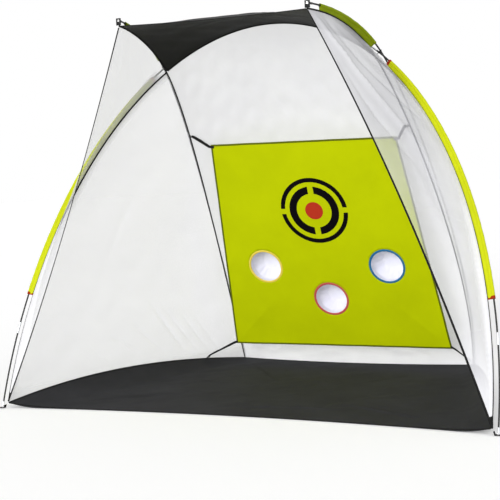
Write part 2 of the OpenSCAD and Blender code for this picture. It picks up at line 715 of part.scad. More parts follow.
// A bag of net behind the rim: a turned cup with a round bottom
module pocket_net(x, down) {
    mouth_r = rim_d / 2 - 2;
    round_r = 34;
    wall = net_t;
    color("#e4e4f0") on_target() translate([x, -down, -rim_t / 2 - air]) rotate([180, 0, 0]) rotate_extrude($fn = 72)
        difference() {
            cup(mouth_r, pocket_depth, round_r);
            translate([0, -wall]) cup(mouth_r - wall, pocket_depth, round_r);
            translate([-1, -2 * wall]) square([mouth_r - rim_w + 2, 3 * wall]);
        }
}

module cup(r, h, round_r) {
    square([r, h - round_r]);
    square([r - round_r, h]);
    translate([r - round_r, h - round_r]) intersection() {
        circle(r = round_r, $fn = 48);
        square(round_r);
    }
}

// ---- straps -------------------------------------------------------------

// A ring hangs inside the rear seam; the top strap's toggle turns in it, on the swing axis
ring_v = 0.72;
ring_r = 8;
ring_wire = 1.6;
seam_dir = unit(seam_at(ring_v + 0.01) - seam_at(ring_v - 0.01));
inside_dir = unit([0, -seam_dir[2], seam_dir[1]]);
ring_mid = seam_at(ring_v) + [-12, 0, 0] + 14 * inside_dir;

module upper_rings() {
    from_seam = unit(ring_mid - seam_at(ring_v));
    start = seam_at(ring_v) + (tape_r + 1.1) * from_seam;
    stop = ring_mid - (ring_r + ring_wire + air) * inside_dir;
    color("#303030") for (s = [-1, 1]) mirror([s < 0 ? 1 : 0, 0, 0]) {
        translate(ring_mid) rotate([0, 90, 0]) rotate_extrude($fn = 64) translate([ring_r, 0]) circle(r = ring_wire, $fn = 24);
        strap([start, stop], [seam_dir, seam_dir], 6, 1.6);
    }
}

toggle_r = 1.6;
toggle_out = 5;
toggle_in = 7;
toggle_head = 4.6;
module upper_hooks() {
    color("#262626") for (s = [-1, 1]) mirror([s < 0 ? 1 : 0, 0, 0]) translate(ring_mid) rotate([0, 90, 0]) {
        translate([0, 0, -toggle_in]) cylinder(r = toggle_r, h = toggle_in + toggle_out, $fn = 24);
        translate([0, 0, toggle_out]) cylinder(r = toggle_head, h = 2.5, $fn = 32);
        translate([0, 0, -toggle_in - 3]) cylinder(r = toggle_head, h = 3, $fn = 32);
    }
}

// Directions in the target's plane at its slanting edge: down along the hem, and out from it
hem_dir = unit(on_target_point(half_width(target_h), target_h) - on_target_point(half_width(0), 0));
out_dir = unit([1, 0, 0] - hem_dir[0] * hem_dir);
corner_hold = 14;

module upper_strap() {
    start = ring_mid - [toggle_in + 3 + air, 0, 0];
    stop = on_target_point(half_width(corner_hold), corner_hold) + air * out_dir;
    color("#1c1c1c") strap([start, start - [8, 0, 0], stop + 10 * out_dir, stop],
        [hem_dir, hem_dir, hem_dir, hem_dir], strap_w, strap_t);
}

hook_v = 0.83;
hook_len = 16;
edge_dir = unit(edge_at(hook_v + 0.01) - edge_at(hook_v - 0.01));
low_strap_start = on_target_point(half_width(target_h - corner_hold), target_h - corner_hold) + air * out_dir;
to_corner = low_strap_start - edge_at(hook_v);
hook_dir = unit(to_corner - (to_corner * edge_dir) * edge_dir);
hook_point = edge_at(hook_v) + (floor_tape_r + air) * hook_dir;
// The strap turns evenly from the target's plane to the floor's edge
strap_steps = 12;
module lower_strap() {
    a = low_strap_start;
    b = hook_point + (hook_len + air) * hook_dir;
    turn = steps(0, 1, strap_steps);
    color("#1c1c1c") strap(
        concat([a], [for (k = turn) mix(a + 12 * out_dir, b + 20 * hook_dir, k)], [b]),
        concat([hem_dir], [for (k = turn) mix(hem_dir, edge_dir, k)], [edge_dir]), strap_w, strap_t);
}

// A moulded hook between the strap and the floor's edge
module lower_hooks() {
    color("#262626") for (s = [-1, 1]) mirror([s < 0 ? 1 : 0, 0, 0])
        strap([hook_point + hook_len * hook_dir, hook_point + hook_len / 2 * hook_dir, hook_point],
            [edge_dir, edge_dir, edge_dir], strap_w + 2, 4);
}

// ---- the whole ----------------------------------------------------------

// The model's own origin is the middle of its footprint, on the ground
front_reach = tab_w / 2;
back_reach = side_foot[1] + stake_reach + tab_w / 2;
module placed() {
    translate([0, -(back_reach - front_reach) / 2, 0]) children();
}
module flipped() {
    mirror([1, 0, 0]) children();
}
low_third = 4;

placed() hoop_sections(0, low_third);  // hoop_sections_right
placed() hoop_sections(low_third, hoop_count - low_third);  // hoop_sections_top
placed() hoop_sections(hoop_count - low_third, hoop_count);  // hoop_sections_left
placed() side_sections();  // side_sections_right
placed() flipped() side_sections();  // side_sections_left
placed() hoop_ferrules();
placed() side_ferrules();  // side_ferrules_right
placed() flipped() side_ferrules();  // side_ferrules_left
placed() hoop_shock_cord();
placed() side_shock_cord();  // side_shock_cord_right
placed() flipped() side_shock_cord();  // side_shock_cord_left
placed() hoop_foot_tips();
placed() side_foot_tips();
placed() side_front_tips();
placed() canopy();
placed() floor_sheet();
placed() back_net();
placed() front_net();  // front_net_right
placed() flipped() front_net();  // front_net_left
placed() side_net();  // side_net_right
placed() flipped() side_net();  // side_net_left
placed() right_hoop_sleeve();  // hoop_sleeve_right
placed() flipped() right_hoop_sleeve();  // hoop_sleeve_left
placed() top_sleeve();
placed() side_sleeve();  // side_sleeve_right
placed() flipped() side_sleeve();  // side_sleeve_left
placed() hoop_seam_tape();  // hoop_seam_right
placed() flipped() hoop_seam_tape();  // hoop_seam_left
placed() roof_seam();
placed() rear_seam_tape();  // rear_seam_right
placed() flipped() rear_seam_tape();  // rear_seam_left
placed() front_hem_tape();  // front_hem_right
placed() flipped() front_hem_tape();  // front_hem_left
placed() canopy_hem();
placed() floor_edging();
placed() front_corner_tabs();
placed() rear_corner_tabs();
placed() front_tip_tabs();
placed() pole_tip_grommets();
placed() stake_eyelets();
placed() crossing_ties();
placed() upper_rings();
placed() upper_strap();  // upper_strap_right
placed() flipped() upper_strap();  // upper_strap_left
placed() upper_hooks();
placed() lower_strap();  // lower_strap_right
placed() flipped() lower_strap();  // lower_strap_left
placed() lower_hooks();
placed() target_sheet();
placed() target_hem();
placed() pocket_rim(-pocket_x, pocket_high, "#e8c020");  // pocket_rim_left
placed() pocket_rim(0, pocket_low, "#b84a48");  // pocket_rim_middle
placed() pocket_rim(pocket_x, pocket_high, "#1f6a9a");  // pocket_rim_right
placed() pocket_net(-pocket_x, pocket_high);  // pocket_net_left
placed() pocket_net(0, pocket_low);  // pocket_net_middle
placed() pocket_net(pocket_x, pocket_high);  // pocket_net_right
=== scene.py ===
import math
import bpy
import numpy as np
from mathutils import Matrix, Vector


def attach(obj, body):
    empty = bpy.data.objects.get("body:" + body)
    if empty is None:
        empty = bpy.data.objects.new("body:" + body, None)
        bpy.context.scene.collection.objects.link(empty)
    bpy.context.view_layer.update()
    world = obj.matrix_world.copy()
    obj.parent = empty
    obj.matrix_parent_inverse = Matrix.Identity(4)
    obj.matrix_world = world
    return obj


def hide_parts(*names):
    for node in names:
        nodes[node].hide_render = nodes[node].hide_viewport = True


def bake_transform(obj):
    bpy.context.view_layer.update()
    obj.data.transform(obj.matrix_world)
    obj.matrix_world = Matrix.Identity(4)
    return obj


# Golf chipping net: coated fibreglass poles in sleeves, mesh walls, a black roof and floor,
# and a target sheet with three ball pockets. Metres. X is across the mouth, Y runs into the net.

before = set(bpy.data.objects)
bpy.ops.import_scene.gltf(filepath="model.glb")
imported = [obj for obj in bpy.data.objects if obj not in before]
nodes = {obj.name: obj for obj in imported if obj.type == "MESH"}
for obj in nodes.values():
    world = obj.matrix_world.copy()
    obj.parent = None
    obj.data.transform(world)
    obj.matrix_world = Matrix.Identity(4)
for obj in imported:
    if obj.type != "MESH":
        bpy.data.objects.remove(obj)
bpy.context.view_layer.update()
net = "frame_and_net"
target = "target"
print("frame loaded:", len(nodes), "nodes")

view = {
    "place": (3.2099, -7.2685, 1.4602),
    "yaw": 25.7022,  # degrees to the left of straight into the net
    "pitch": -4.3413,
    "roll": -2.4856,
    "lens": 94.26,
    "shift": (-0.0023, 0.0005),
}


def makeCamera():
    yaw, pitch, roll = (math.radians(view[name]) for name in ("yaw", "pitch", "roll"))
    ahead = Vector((-math.sin(yaw) * math.cos(pitch), math.cos(yaw) * math.cos(pitch), math.sin(pitch)))
    level = Vector((math.cos(yaw), math.sin(yaw), 0))
    plumb = level.cross(ahead)
    right = math.cos(roll) * level + math.sin(roll) * plumb
    top = math.cos(roll) * plumb - math.sin(roll) * level
    data = bpy.data.cameras.new("camera")
    data.lens = view["lens"]
    data.sensor_width = 36
    data.shift_x, data.shift_y = view["shift"]
    data.clip_end = 100
    camera = bpy.data.objects.new("camera", data)
    bpy.context.scene.collection.objects.link(camera)
    turn = Matrix((right, top, -ahead)).transposed()
    camera.matrix_world = Matrix.Translation(view["place"]) @ turn.to_4x4()
    bpy.context.scene.camera = camera


makeCamera()
print("camera made")


def linear(hexColour):
    parts = [int(hexColour[i:i + 2], 16) / 255 for i in (1, 3, 5)]
    return [c / 12.92 if c <= 0.04045 else ((c + 0.055) / 1.055) ** 2.4 for c in parts] + [1.0]


def setNode(tree, node, settings=None, links=None):
    # settings are the node's own values or its sockets', links the sockets or nodes that feed it
    for key, value in (settings or {}).items():
        if isinstance(key, str) and hasattr(node, key):
            setattr(node, key, value)
        else:
            node.inputs[key].default_value = value
    for key, source in (links or {}).items():
        tree.links.new(getattr(source, "outputs", [source])[0], node.inputs[key])
    return node


def addNode(tree, kind, settings=None, links=None):
    return setNode(tree, tree.nodes.new("ShaderNode" + kind), settings, links)


def unit(a):
    a = np.asarray(a, float)
    return a / np.maximum(np.linalg.norm(a, axis=-1, keepdims=True), 1e-12)


def mix(a, b, t):
    return a + (b - a) * t


def bezier(points, t):
    p = np.asarray(points, float)
    t = np.asarray(t, float)[..., None]
    return p[0] * (1 - t) ** 3 + 3 * p[1] * t * (1 - t) ** 2 + 3 * p[2] * t * t * (1 - t) + p[3] * t ** 3


flip = np.array([-1.0, 1.0, 1.0])
across = np.array([1.0, 0.0, 0.0])


def rollSeries(x, y, size, seed):
    # uneven soft waves about size metres long, between about -2 and 2
    rng = np.random.default_rng(seed)
    total = 0
    for _ in range(7):
        heading = rng.uniform(0, math.pi)
        rate = 2 * math.pi / (size * rng.uniform(0.7, 1.7))
        total = total + np.sin(rate * (x * math.cos(heading) + y * math.sin(heading)) + rng.uniform(0, 6.3))
    return total / math.sqrt(7)


def crease(x, y, start, end, width, height):
    # a soft ridge from start to end that fades at both ends
    run = np.subtract(end, start)
    size = math.hypot(*run)
    along = ((x - start[0]) * run[0] + (y - start[1]) * run[1]) / size ** 2
    aside = ((y - start[1]) * run[0] - (x - start[0]) * run[1]) / size
    fade = np.sin(math.pi * np.clip(along, 0, 1)) ** 0.8
    return height * fade / (1 + (aside / width) ** 2) ** 1.5


def creases(x, y, rows):
    return sum(crease(x, y, *row) for row in rows)


# a mesh part is its points, its faces and its faces' UV corners; UV is in metres

fromFeet = np.array([0.0, -0.984, 0.0])  # the shapes below are worked out from the front feet
mending = {"weld": 0.00002, "sharp": 40}


def gridPart(points, uv, turned=False, closed=False):
    rows, cols = points.shape[:2]
    faces, corners = [], []
    for j in range(rows - 1):
        for i in range(cols if closed else cols - 1):
            h = (i + 1) % cols
            face = [j * cols + i, j * cols + h, (j + 1) * cols + h, (j + 1) * cols + i]
            rightEdge = uv[j, h] if h else 2 * uv[j, -1] - uv[j, -2]
            rightNext = uv[j + 1, h] if h else 2 * uv[j + 1, -1] - uv[j + 1, -2]
            corner = [uv[j, i], rightEdge, rightNext, uv[j + 1, i]]
            faces.append(face[::-1] if turned else face)
            corners.append(corner[::-1] if turned else corner)
    return points.reshape(-1, 3), faces, corners


def mirroredPart(part):
    points, faces, corners = part
    return points * flip, [face[::-1] for face in faces], [corner[::-1] for corner in corners]


def runTable(points):
    # distance along a line at each of its points
    points = np.asarray(points, float)
    return np.concatenate([[0], np.cumsum(np.linalg.norm(np.diff(points, axis=0), axis=1))])


def sweepPart(path, sides, profile, closed=False, caps=True):
    # rings of the profile along the path; u runs along it and v round it
    path = np.asarray(path, float)
    if closed:
        heading = unit(np.roll(path, -1, 0) - np.roll(path, 1, 0))
    else:
        heading = unit(np.gradient(path, axis=0))
    sides = np.broadcast_to(sides, path.shape)
    side = unit(sides - (sides * heading).sum(1, keepdims=True) * heading)
    other = np.cross(heading, side)
    profile = np.broadcast_to(profile, (len(path),) + np.shape(profile)[-2:])
    rings = path[:, None] + profile[..., :1] * side[:, None] + profile[..., 1:] * other[:, None]
    uv = np.stack(np.broadcast_arrays(runTable(path)[:, None], runTable(profile[0])[None, :]), -1)
    if closed:
        rings = np.concatenate([rings, rings[:1]])
        last = uv[-1:] + [[[np.linalg.norm(path[0] - path[-1]), 0]]]
        uv = np.concatenate([uv, last])
    points, faces, corners = gridPart(rings, uv, closed=True)
    if caps and not closed:
        count = rings.shape[1]
        for ring in (range(count), range(len(points) - count, len(points))):
            faces.append(list(ring))
            corners.append([[0, 0.0005 * k] for k in range(count)])
    return points, faces, corners


def pickOnly(piece):
    bpy.ops.object.select_all(action="DESELECT")
    bpy.context.view_layer.objects.active = piece
    piece.select_set(True)


def newPiece(name, mesh):
    piece = bpy.data.objects.new(name, mesh)
    bpy.context.scene.collection.objects.link(piece)
    pickOnly(piece)
    return piece


def editAll():
    bpy.ops.object.mode_set(mode="EDIT")
    bpy.ops.mesh.select_all(action="SELECT")


def makePiece(name, parts, finish, body, replaced=(), closed=True):
    points, faces, corners, base = [], [], [], 0
    for part in parts:
        points.append(np.asarray(part[0]) + fromFeet)
        faces += [[base + k for k in face] for face in part[1]]
        corners += part[2]
        base += len(part[0])
    mesh = bpy.data.meshes.new(name)
    mesh.from_pydata(np.concatenate(points).tolist(), [], faces)
    layer = mesh.uv_layers.new(name="UVMap")
    flat = np.array([value for face in corners for corner in face for value in corner], np.float32)
    layer.data.foreach_set("uv", flat)
    for key in [finish] if isinstance(finish, str) else finish:
        mesh.materials.append(finishes[key])
    piece = newPiece(name, mesh)
    editAll()
    bpy.ops.mesh.remove_doubles(threshold=mending["weld"])
    if closed:
        bpy.ops.mesh.normals_make_consistent(inside=False)
    bpy.ops.object.mode_set(mode="OBJECT")
    mesh.shade_smooth()
    mesh.set_sharp_from_angle(angle=math.radians(mending["sharp"]))
    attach(piece, body)
    if replaced:
        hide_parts(*replaced)
    return piece


def applyModifier(piece, kind, **settings):
    pickOnly(piece)
    modifier = piece.modifiers.new(kind.title(), kind)
    for key, value in settings.items():
        setattr(modifier, key, value)
    bpy.ops.object.modifier_apply(modifier=modifier.name)


def paintShare(piece, name, share):
    # share(points) gives a value from 0 to 1 at each point of the mesh
    spots = np.empty(len(piece.data.vertices) * 3, np.float32)
    piece.data.vertices.foreach_get("co", spots)
    layer = piece.data.attributes.new(name, "FLOAT", "POINT")
    layer.data.foreach_set("value", np.clip(share(spots.reshape(-1, 3) - fromFeet), 0, 1).astype(np.float32))


def ovalProfile(halfWidth, halfThick, count=12):
    turn = np.linspace(0, 2 * math.pi, count, endpoint=False)
    return np.stack([halfWidth * np.cos(turn), halfThick * np.sin(turn)], -1)


def bandProfile(width, thick):
    # a flat band with rounded edges, 12 points round
    a, b = width / 2, thick / 2
    r = b * 0.8
    return np.array([
        [-a + r, -b], [-a / 3, -b], [a / 3, -b], [a - r, -b], [a, -b / 3], [a, b / 3],
        [a - r, b], [a / 3, b], [-a / 3, b], [-a + r, b], [-a, b / 3], [-a, -b / 3]])


waveRun = 0.31416  # metres from one band of a wave texture to the next at scale 1


def startMaterial(name):
    material = bpy.data.materials.new(name)
    material.use_nodes = True
    tree = material.node_tree
    tree.nodes.clear()
    shader = addNode(tree, "BsdfPrincipled")
    addNode(tree, "OutputMaterial", links={"Surface": shader})
    return material, tree, shader, addNode(tree, "TexCoord").outputs


def threadPattern(tree, place, thread, turned=0.0):
    # crossing threads in the piece's own UV, one wave per thread
    turn = addNode(tree, "Mapping", {"Rotation": (0, 0, turned)}, {"Vector": place["UV"]})
    wave = {"wave_type": "BANDS", "wave_profile": "SIN", "Scale": waveRun / thread, "Distortion": 0.0}
    warp, weft = (
        addNode(tree, "TexWave", {**wave, "bands_direction": way}, {"Vector": turn}).outputs["Fac"]
        for way in "XY")
    return turn, warp, weft


def wovenCloth(name, colour, shade, thread, lift, roughness, gloss, crumple=0.0012, patch=0.35):
    # plain weave: warp and weft as fine bumps, uneven dye as a soft change from colour to shade
    material, tree, shader, place = startMaterial(name)
    turn, warp, weft = threadPattern(tree, place, thread)
    weave = addNode(tree, "Math", {"operation": "MULTIPLY"}, {0: warp, 1: weft})
    dye = addNode(tree, "TexNoise", {"Scale": 1 / patch, "Detail": 5.0, "Roughness": 0.6}, {"Vector": turn})
    patches = addNode(tree, "MapRange", {"From Min": 0.32, "From Max": 0.68}, {"Value": dye})
    tone = addNode(tree, "Mix", {"data_type": "RGBA", 6: linear(colour), 7: linear(shade)}, {0: patches})
    folds = addNode(tree, "TexNoise", {"Scale": 9.0, "Detail": 3.0, "Distortion": 0.6}, {"Vector": turn})
    soft = addNode(tree, "Bump", {"Strength": 0.6, "Distance": crumple * 4}, {"Height": folds})
    fine = addNode(tree, "Bump", {"Strength": 0.7, "Distance": lift}, {"Height": weave, "Normal": soft})
    ends = {"To Min": roughness - 0.06, "To Max": roughness + 0.06}
    shine = addNode(tree, "MapRange", ends, {"Value": dye})
    setNode(tree, shader, {"IOR": 1.5, "Specular IOR Level": gloss},
            {"Base Color": tone.outputs[2], "Normal": fine, "Roughness": shine})
    return material


def knittedMesh(name, colour, shade, hole, seeThrough, dense, slackShade="#b9b9bd"):
    # warp-knit polyester mesh: fine holes let light through, and doubled cloth hides what is behind
    # the real holes are 1.5 mm wide; here they are drawn wider so that they show
    material, tree, shader, place = startMaterial(name)
    turn, warp, weft = threadPattern(tree, place, hole, math.radians(45))
    yarn = addNode(tree, "Math", {"operation": "MAXIMUM"}, {0: warp, 1: weft})
    blot = addNode(tree, "TexNoise", {"Scale": 4.0, "Detail": 4.0, "Roughness": 0.55}, {"Vector": turn})
    patches = addNode(tree, "MapRange", {"From Min": 0.35, "From Max": 0.65}, {"Value": blot})
    tone = addNode(tree, "Mix", {"data_type": "RGBA", 6: linear(colour), 7: linear(shade)}, {0: patches})
    shaded, doubled = (
        addNode(tree, "Attribute", {"attribute_name": share}).outputs["Fac"]
        for share in ("shaded", "doubled"))
    tone = addNode(tree, "Mix", {"data_type": "RGBA", 7: linear(slackShade)},
                   {0: shaded, 6: tone.outputs[2]})  # slack cloth lies in its own shade
    ends = {"From Min": 0.4, "From Max": 0.95, "To Min": 0.9 - seeThrough, "To Max": 1.12 - seeThrough}
    cover = addNode(tree, "MapRange", ends, {"Value": yarn})
    opaque = addNode(tree, "Mix", {"data_type": "FLOAT", 3: dense}, {0: doubled, 2: cover})
    bump = addNode(tree, "Bump", {"Strength": 0.5, "Distance": 0.0006}, {"Height": yarn})
    setNode(tree, shader, {"Roughness": 0.85, "IOR": 1.5, "Specular IOR Level": 0.2},
            {"Base Color": tone.outputs[2], "Alpha": opaque, "Normal": bump})
    return material


def stitchedTape(name, colour, thread, width):
    # folded binding tape: ribbed weave across, and a row of lock stitches along each edge
    material, tree, shader, place = startMaterial(name)
    parts = addNode(tree, "SeparateXYZ", links={0: place["UV"]}).outputs
    rib = addNode(tree, "TexWave", {"bands_direction": "X", "Scale": waveRun / 0.0025},
                  {"Vector": place["UV"]})
    dash = addNode(tree, "Math", {"operation": "PINGPONG", 1: 0.003}, {0: parts[0]})
    long = addNode(tree, "Math", {"operation": "LESS_THAN", 1: 0.002}, {0: dash})
    rows = addNode(tree, "Math", {"operation": "PINGPONG", 1: width / 2}, {0: parts[1]})
    row = addNode(tree, "Math", {"operation": "COMPARE", 1: width / 4, 2: 0.0006}, {0: rows})
    stitch = addNode(tree, "Math", {"operation": "MULTIPLY"}, {0: long, 1: row})
    tone = addNode(tree, "Mix", {"data_type": "RGBA", 6: linear(colour), 7: linear(thread)}, {0: stitch})
    height = addNode(tree, "Math", {"operation": "MULTIPLY_ADD", 1: 0.35}, {0: rib.outputs["Fac"], 2: stitch})
    bump = addNode(tree, "Bump", {"Strength": 0.8, "Distance": 0.0004}, {"Height": height})
    setNode(tree, shader, {"Roughness": 0.78, "IOR": 1.5, "Specular IOR Level": 0.15},
            {"Base Color": tone.outputs[2], "Normal": bump})
    return material


def glassFibreTube():
    # pultruded fibreglass with a black gel coat: smooth and half glossy, dull where sleeves rub it
    material, tree, shader, place = startMaterial("fibreglassBlack")
    rub = addNode(tree, "TexNoise", {"Scale": 14.0, "Detail": 6.0}, {"Vector": place["Object"]})
    tone = addNode(tree, "Mix", {"data_type": "RGBA", 6: linear("#181818"), 7: linear("#262626")}, {0: rub})
    gloss = addNode(tree, "MapRange", {"To Min": 0.36, "To Max": 0.58}, {"Value": rub})
    fibre = addNode(tree, "TexNoise", {"Scale": 900.0, "Detail": 2.0}, {"Vector": place["Object"]})  # 1.1 mm
    bump = addNode(tree, "Bump", {"Strength": 0.15, "Distance": 0.0002}, {"Height": fibre})
    setNode(tree, shader, {"IOR": 1.52, "Specular IOR Level": 0.3},
            {"Base Color": tone.outputs[2], "Roughness": gloss, "Normal": bump})
    return material


def drawnMetal(name, colour, low, high, scratch):
    # thin drawn or pressed metal with a plated face: fine scratches and a few dull handling marks
    material, tree, shader, place = startMaterial(name)
    marks = addNode(tree, "TexNoise", {"Scale": 60.0, "Detail": 6.0, "Distortion": 0.8},
                    {"Vector": place["Object"]})
    gloss = addNode(tree, "MapRange", {"To Min": low, "To Max": high}, {"Value": marks})
    stretch = addNode(tree, "Mapping", {"Scale": (1, 1, 12)}, {"Vector": place["Object"]})
    line = addNode(tree, "TexNoise", {"Scale": scratch, "Detail": 3.0}, {"Vector": stretch})
    bump = addNode(tree, "Bump", {"Strength": 0.2, "Distance": 0.0001}, {"Height": line})
    setNode(tree, shader, {"Base Color": linear(colour), "Metallic": 1.0},
            {"Roughness": gloss, "Normal": bump})
    return material


def mouldedNylon():
    # injection-moulded nylon: even black with a fine spark-eroded grain
    material, tree, shader, place = startMaterial("nylonMoulded")
    grain = addNode(tree, "TexNoise", {"Scale": 1400.0, "Detail": 2.0}, {"Vector": place["Object"]})  # 0.7 mm
    bump = addNode(tree, "Bump", {"Strength": 0.3, "Distance": 0.00015}, {"Height": grain})
    wear = addNode(tree, "TexNoise", {"Scale": 40.0, "Detail": 4.0}, {"Vector": place["Object"]})
    tone = addNode(tree, "Mix", {"data_type": "RGBA", 6: linear("#191919"), 7: linear("#2a2a2a")}, {0: wear})
    setNode(tree, shader, {"Roughness": 0.46, "IOR": 1.53}, {"Base Color": tone.outputs[2], "Normal": bump})
    return material


def braidedCord():
    # elastic cord with a braided polyester jacket
    material, tree, shader, place = startMaterial("shockCordBraid")
    braid = addNode(tree, "TexWave", {"bands_direction": "DIAGONAL", "Scale": waveRun / 0.002},
                    {"Vector": place["Object"]}).outputs["Fac"]
    tone = addNode(tree, "Mix", {"data_type": "RGBA", 6: linear("#e8e8e6"), 7: linear("#b9bbbd")}, {0: braid})
    bump = addNode(tree, "Bump", {"Strength": 0.4, "Distance": 0.0002}, {"Height": braid})
    setNode(tree, shader, {"Roughness": 0.8}, {"Base Color": tone.outputs[2], "Normal": bump})
    return material


printed = {
    "ink": "#08050a",
    "dot": "#ae321e",
    "middle": 0.475,  # metres below the top edge
    "outer": (0.225, 0.196),
    "inner": (0.1665, 0.117),
    "dotRadius": 0.060,
    "outerGap": 0.018,
    "innerGap": 0.019,
}


def printedTarget():
    # woven polyester, flat dyed, with a screen-printed aiming mark: two broken rings and a dot
    material = wovenCloth(
        "polyesterTarget", "#b8c400", "#b0bc00", 0.0024, 0.00025, 0.78, 0.05, crumple=0.0003)
    tree = material.node_tree
    shader = tree.nodes["Principled BSDF"]
    cloth = shader.inputs["Base Color"].links[0].from_socket
    place = addNode(tree, "TexCoord").outputs["UV"]
    parts = addNode(tree, "SeparateXYZ", links={0: place}).outputs
    reach = addNode(tree, "VectorMath", {"operation": "DISTANCE", 1: (0, printed["middle"], 0)},
                    {0: place}).outputs["Value"]
    rings = []
    for (outer, inner), axis, middle, gap in (
            (printed["outer"], 1, printed["middle"], printed["outerGap"]),
            (printed["inner"], 0, 0.0, printed["innerGap"])):
        band = addNode(tree, "Math", {"operation": "COMPARE", 1: (outer + inner) / 2, 2: (outer - inner) / 2},
                       {0: reach})
        bridge = addNode(tree, "Math", {"operation": "COMPARE", 1: middle, 2: gap}, {0: parts[axis]})
        rings.append(addNode(tree, "Math", {"operation": "SUBTRACT", "use_clamp": True},
                             {0: band, 1: bridge}))
    ink = addNode(tree, "Math", {"operation": "MAXIMUM"}, {0: rings[0], 1: rings[1]})
    dot = addNode(tree, "Math", {"operation": "LESS_THAN", 1: printed["dotRadius"]}, {0: reach})
    for share, colour in ((ink, printed["ink"]), (dot, printed["dot"])):
        cloth = addNode(tree, "Mix", {"data_type": "RGBA", 7: linear(colour)},
                        {0: share, 6: cloth}).outputs[2]
    setNode(tree, shader, links={"Base Color": cloth})
    return material


finishes = {
    "tube": glassFibreTube(),
    "ferrule": drawnMetal("nickelPlatedBrassDrawn", "#d5d7da", 0.22, 0.42, 500.0),
    "grommet": drawnMetal("nickelPlatedBrassPressed", "#d0d0ce", 0.2, 0.36, 300.0),
    "nylon": mouldedNylon(),
    "cord": braidedCord(),
    # coated taffeta: close weave, dull, with a faint sheen
    "roof": wovenCloth("taffetaBlack", "#1f1f1f", "#272727", 0.0022, 0.0002, 0.66, 0.14),
    # laminated polyester floor cloth: stiffer, with more crease marks
    "floor": wovenCloth("polyesterFloor", "#2e2e30", "#38383b", 0.003, 0.0003, 0.8, 0.06),
    "mesh": knittedMesh("knittedMeshWhite", "#efeff1", "#e7e7eb", 0.005, 0.70, 0.97),
    "pocketMesh": knittedMesh("knittedMeshPocket", "#f2f2fd", "#e8e8f9", 0.005, 0.2, 0.98),
    # dyed polyester sleeve cloth; the side sleeves' cloth is the lime cloth darkened, painted shade for their
    # shaded underside
    "bright": wovenCloth("polyesterLime", "#bcc40c", "#b0b80c", 0.002, 0.0002, 0.66, 0.12),
    "olive": wovenCloth("polyesterLimePaintedShade", "#869600", "#7a8c00", 0.002, 0.0002, 0.66, 0.12),
    "grey": wovenCloth("polyesterCharcoal", "#3a3a3a", "#303030", 0.002, 0.0002, 0.66, 0.12),
    "trim": wovenCloth("polyesterRust", "#962800", "#8a2602", 0.002, 0.0002, 0.66, 0.12),
    "tape": stitchedTape("bindingTape", "#101010", "#2c2c2c", 0.012),
    "hem": stitchedTape("bindingTapeOlive", "#555d04", "#7e8608", 0.012),
    "webbing": stitchedTape("polypropyleneWebbing", "#1c1c1c", "#3c3c3c", 0.018),
    "rimYellow": stitchedTape("bindingTapeYellow", "#dfc648", "#ecdc80", 0.012),
    "rimRed": stitchedTape("bindingTapeRed", "#b84a48", "#d07a76", 0.012),
    "rimBlue": stitchedTape("bindingTapeBlue", "#1c6290", "#4c8cb4", 0.012),
    "target": printedTarget(),
    "targetBack": wovenCloth("polyesterTargetBack", "#aebb0c", "#a6b30c", 0.0024, 0.00025, 0.78, 0.05),
}
print("finishes made:", len(finishes))

# curves of the net, from the front feet

hoopShape = {"half": 1.5, "rise": 2.37, "lean": 19.8, "cornerHeight": 0.030, "inset": 0.031, "crossX": 0.69}
wallShape = {
    "tip": (0.563, 0.0, 2.177),
    "rear": (0.825, 1.926, 0.010),
    "crossRun": (-0.13, -1.0, 0.72),  # direction of the rear seam where it meets the hoop
    "rearRise": (0.065, -0.145, 0.637),
    "lowRun": 0.472,
    "highRun": 0.241,
    "tipRun": (0.058, 0.240, -0.005),
    "hemBow": ((0.015, 0.110, 0), (0.035, 0.120, 0)),
    "edgeBow": ((0.046, 0, 0.107), (0.050, 0, 0.093)),
    "rearBow": (-0.046, 0.007),  # back and down at the middle
    "canopyBow": (0.012, 0.008),
    "mouthBow": 0.100,
    "mouthHeight": (0.003, 0.027),  # at the middle, and added at the corners
}
poleShape = {
    "diameter": 0.0095,
    "cross": 0.0111,
    "footOff": (0.005, 0.020, 0.012),
    "tipOff": (0.003, 0.008, 0.030),
    "hoopSections": 13,
    "sideSections": 7,
    "gap": 0.0005,
    "hoopStart": 0.018,
    "sideStart": 0.006,
    "tipBack": 0.016,
}
leanAngle = math.radians(hoopShape["lean"])
hoopUp = np.array([0, math.sin(leanAngle), math.cos(leanAngle)])


def hoopInward(a):
    a = np.radians(np.asarray(a, float))[..., None]
    sideways, up = -np.cos(a) / hoopShape["half"], -np.sin(a) / hoopShape["rise"]
    return (sideways * across + up * hoopUp) / np.hypot(sideways, up)


def hoopAt(a, inset=0.0):
    r = np.radians(np.asarray(a, float))[..., None]
    spot = hoopShape["half"] * np.cos(r) * across + hoopShape["rise"] * np.sin(r) * hoopUp
    return spot + inset * hoopInward(a)


def bowedLine(start, end, bow):
    return [start, mix(start, end, 1 / 3) + bow[0], mix(start, end, 2 / 3) + bow[1], end]


cornerAngle = math.degrees(math.asin(hoopShape["cornerHeight"] / (hoopShape["rise"] * math.cos(leanAngle))))
crossAngle = math.degrees(math.acos(hoopShape["crossX"] / hoopShape["half"]))
netCorner = hoopAt(cornerAngle, hoopShape["inset"])
crossSeam = hoopAt(crossAngle, hoopShape["inset"])
tipCorner = np.array(wallShape["tip"])
rearCorner = np.array(wallShape["rear"])
crossRun = unit(wallShape["crossRun"])
lowSeam = [
    rearCorner, rearCorner + wallShape["rearRise"], crossSeam - wallShape["lowRun"] * crossRun, crossSeam]
highSeam = [
    crossSeam, crossSeam + wallShape["highRun"] * crossRun, tipCorner + wallShape["tipRun"], tipCorner]
crossTurn = math.radians(crossAngle)
hoopRun = unit(
    -hoopShape["half"] * math.sin(crossTurn) * across + hoopShape["rise"] * math.cos(crossTurn) * hoopUp)
crossOut = unit(np.cross(hoopRun, crossRun))
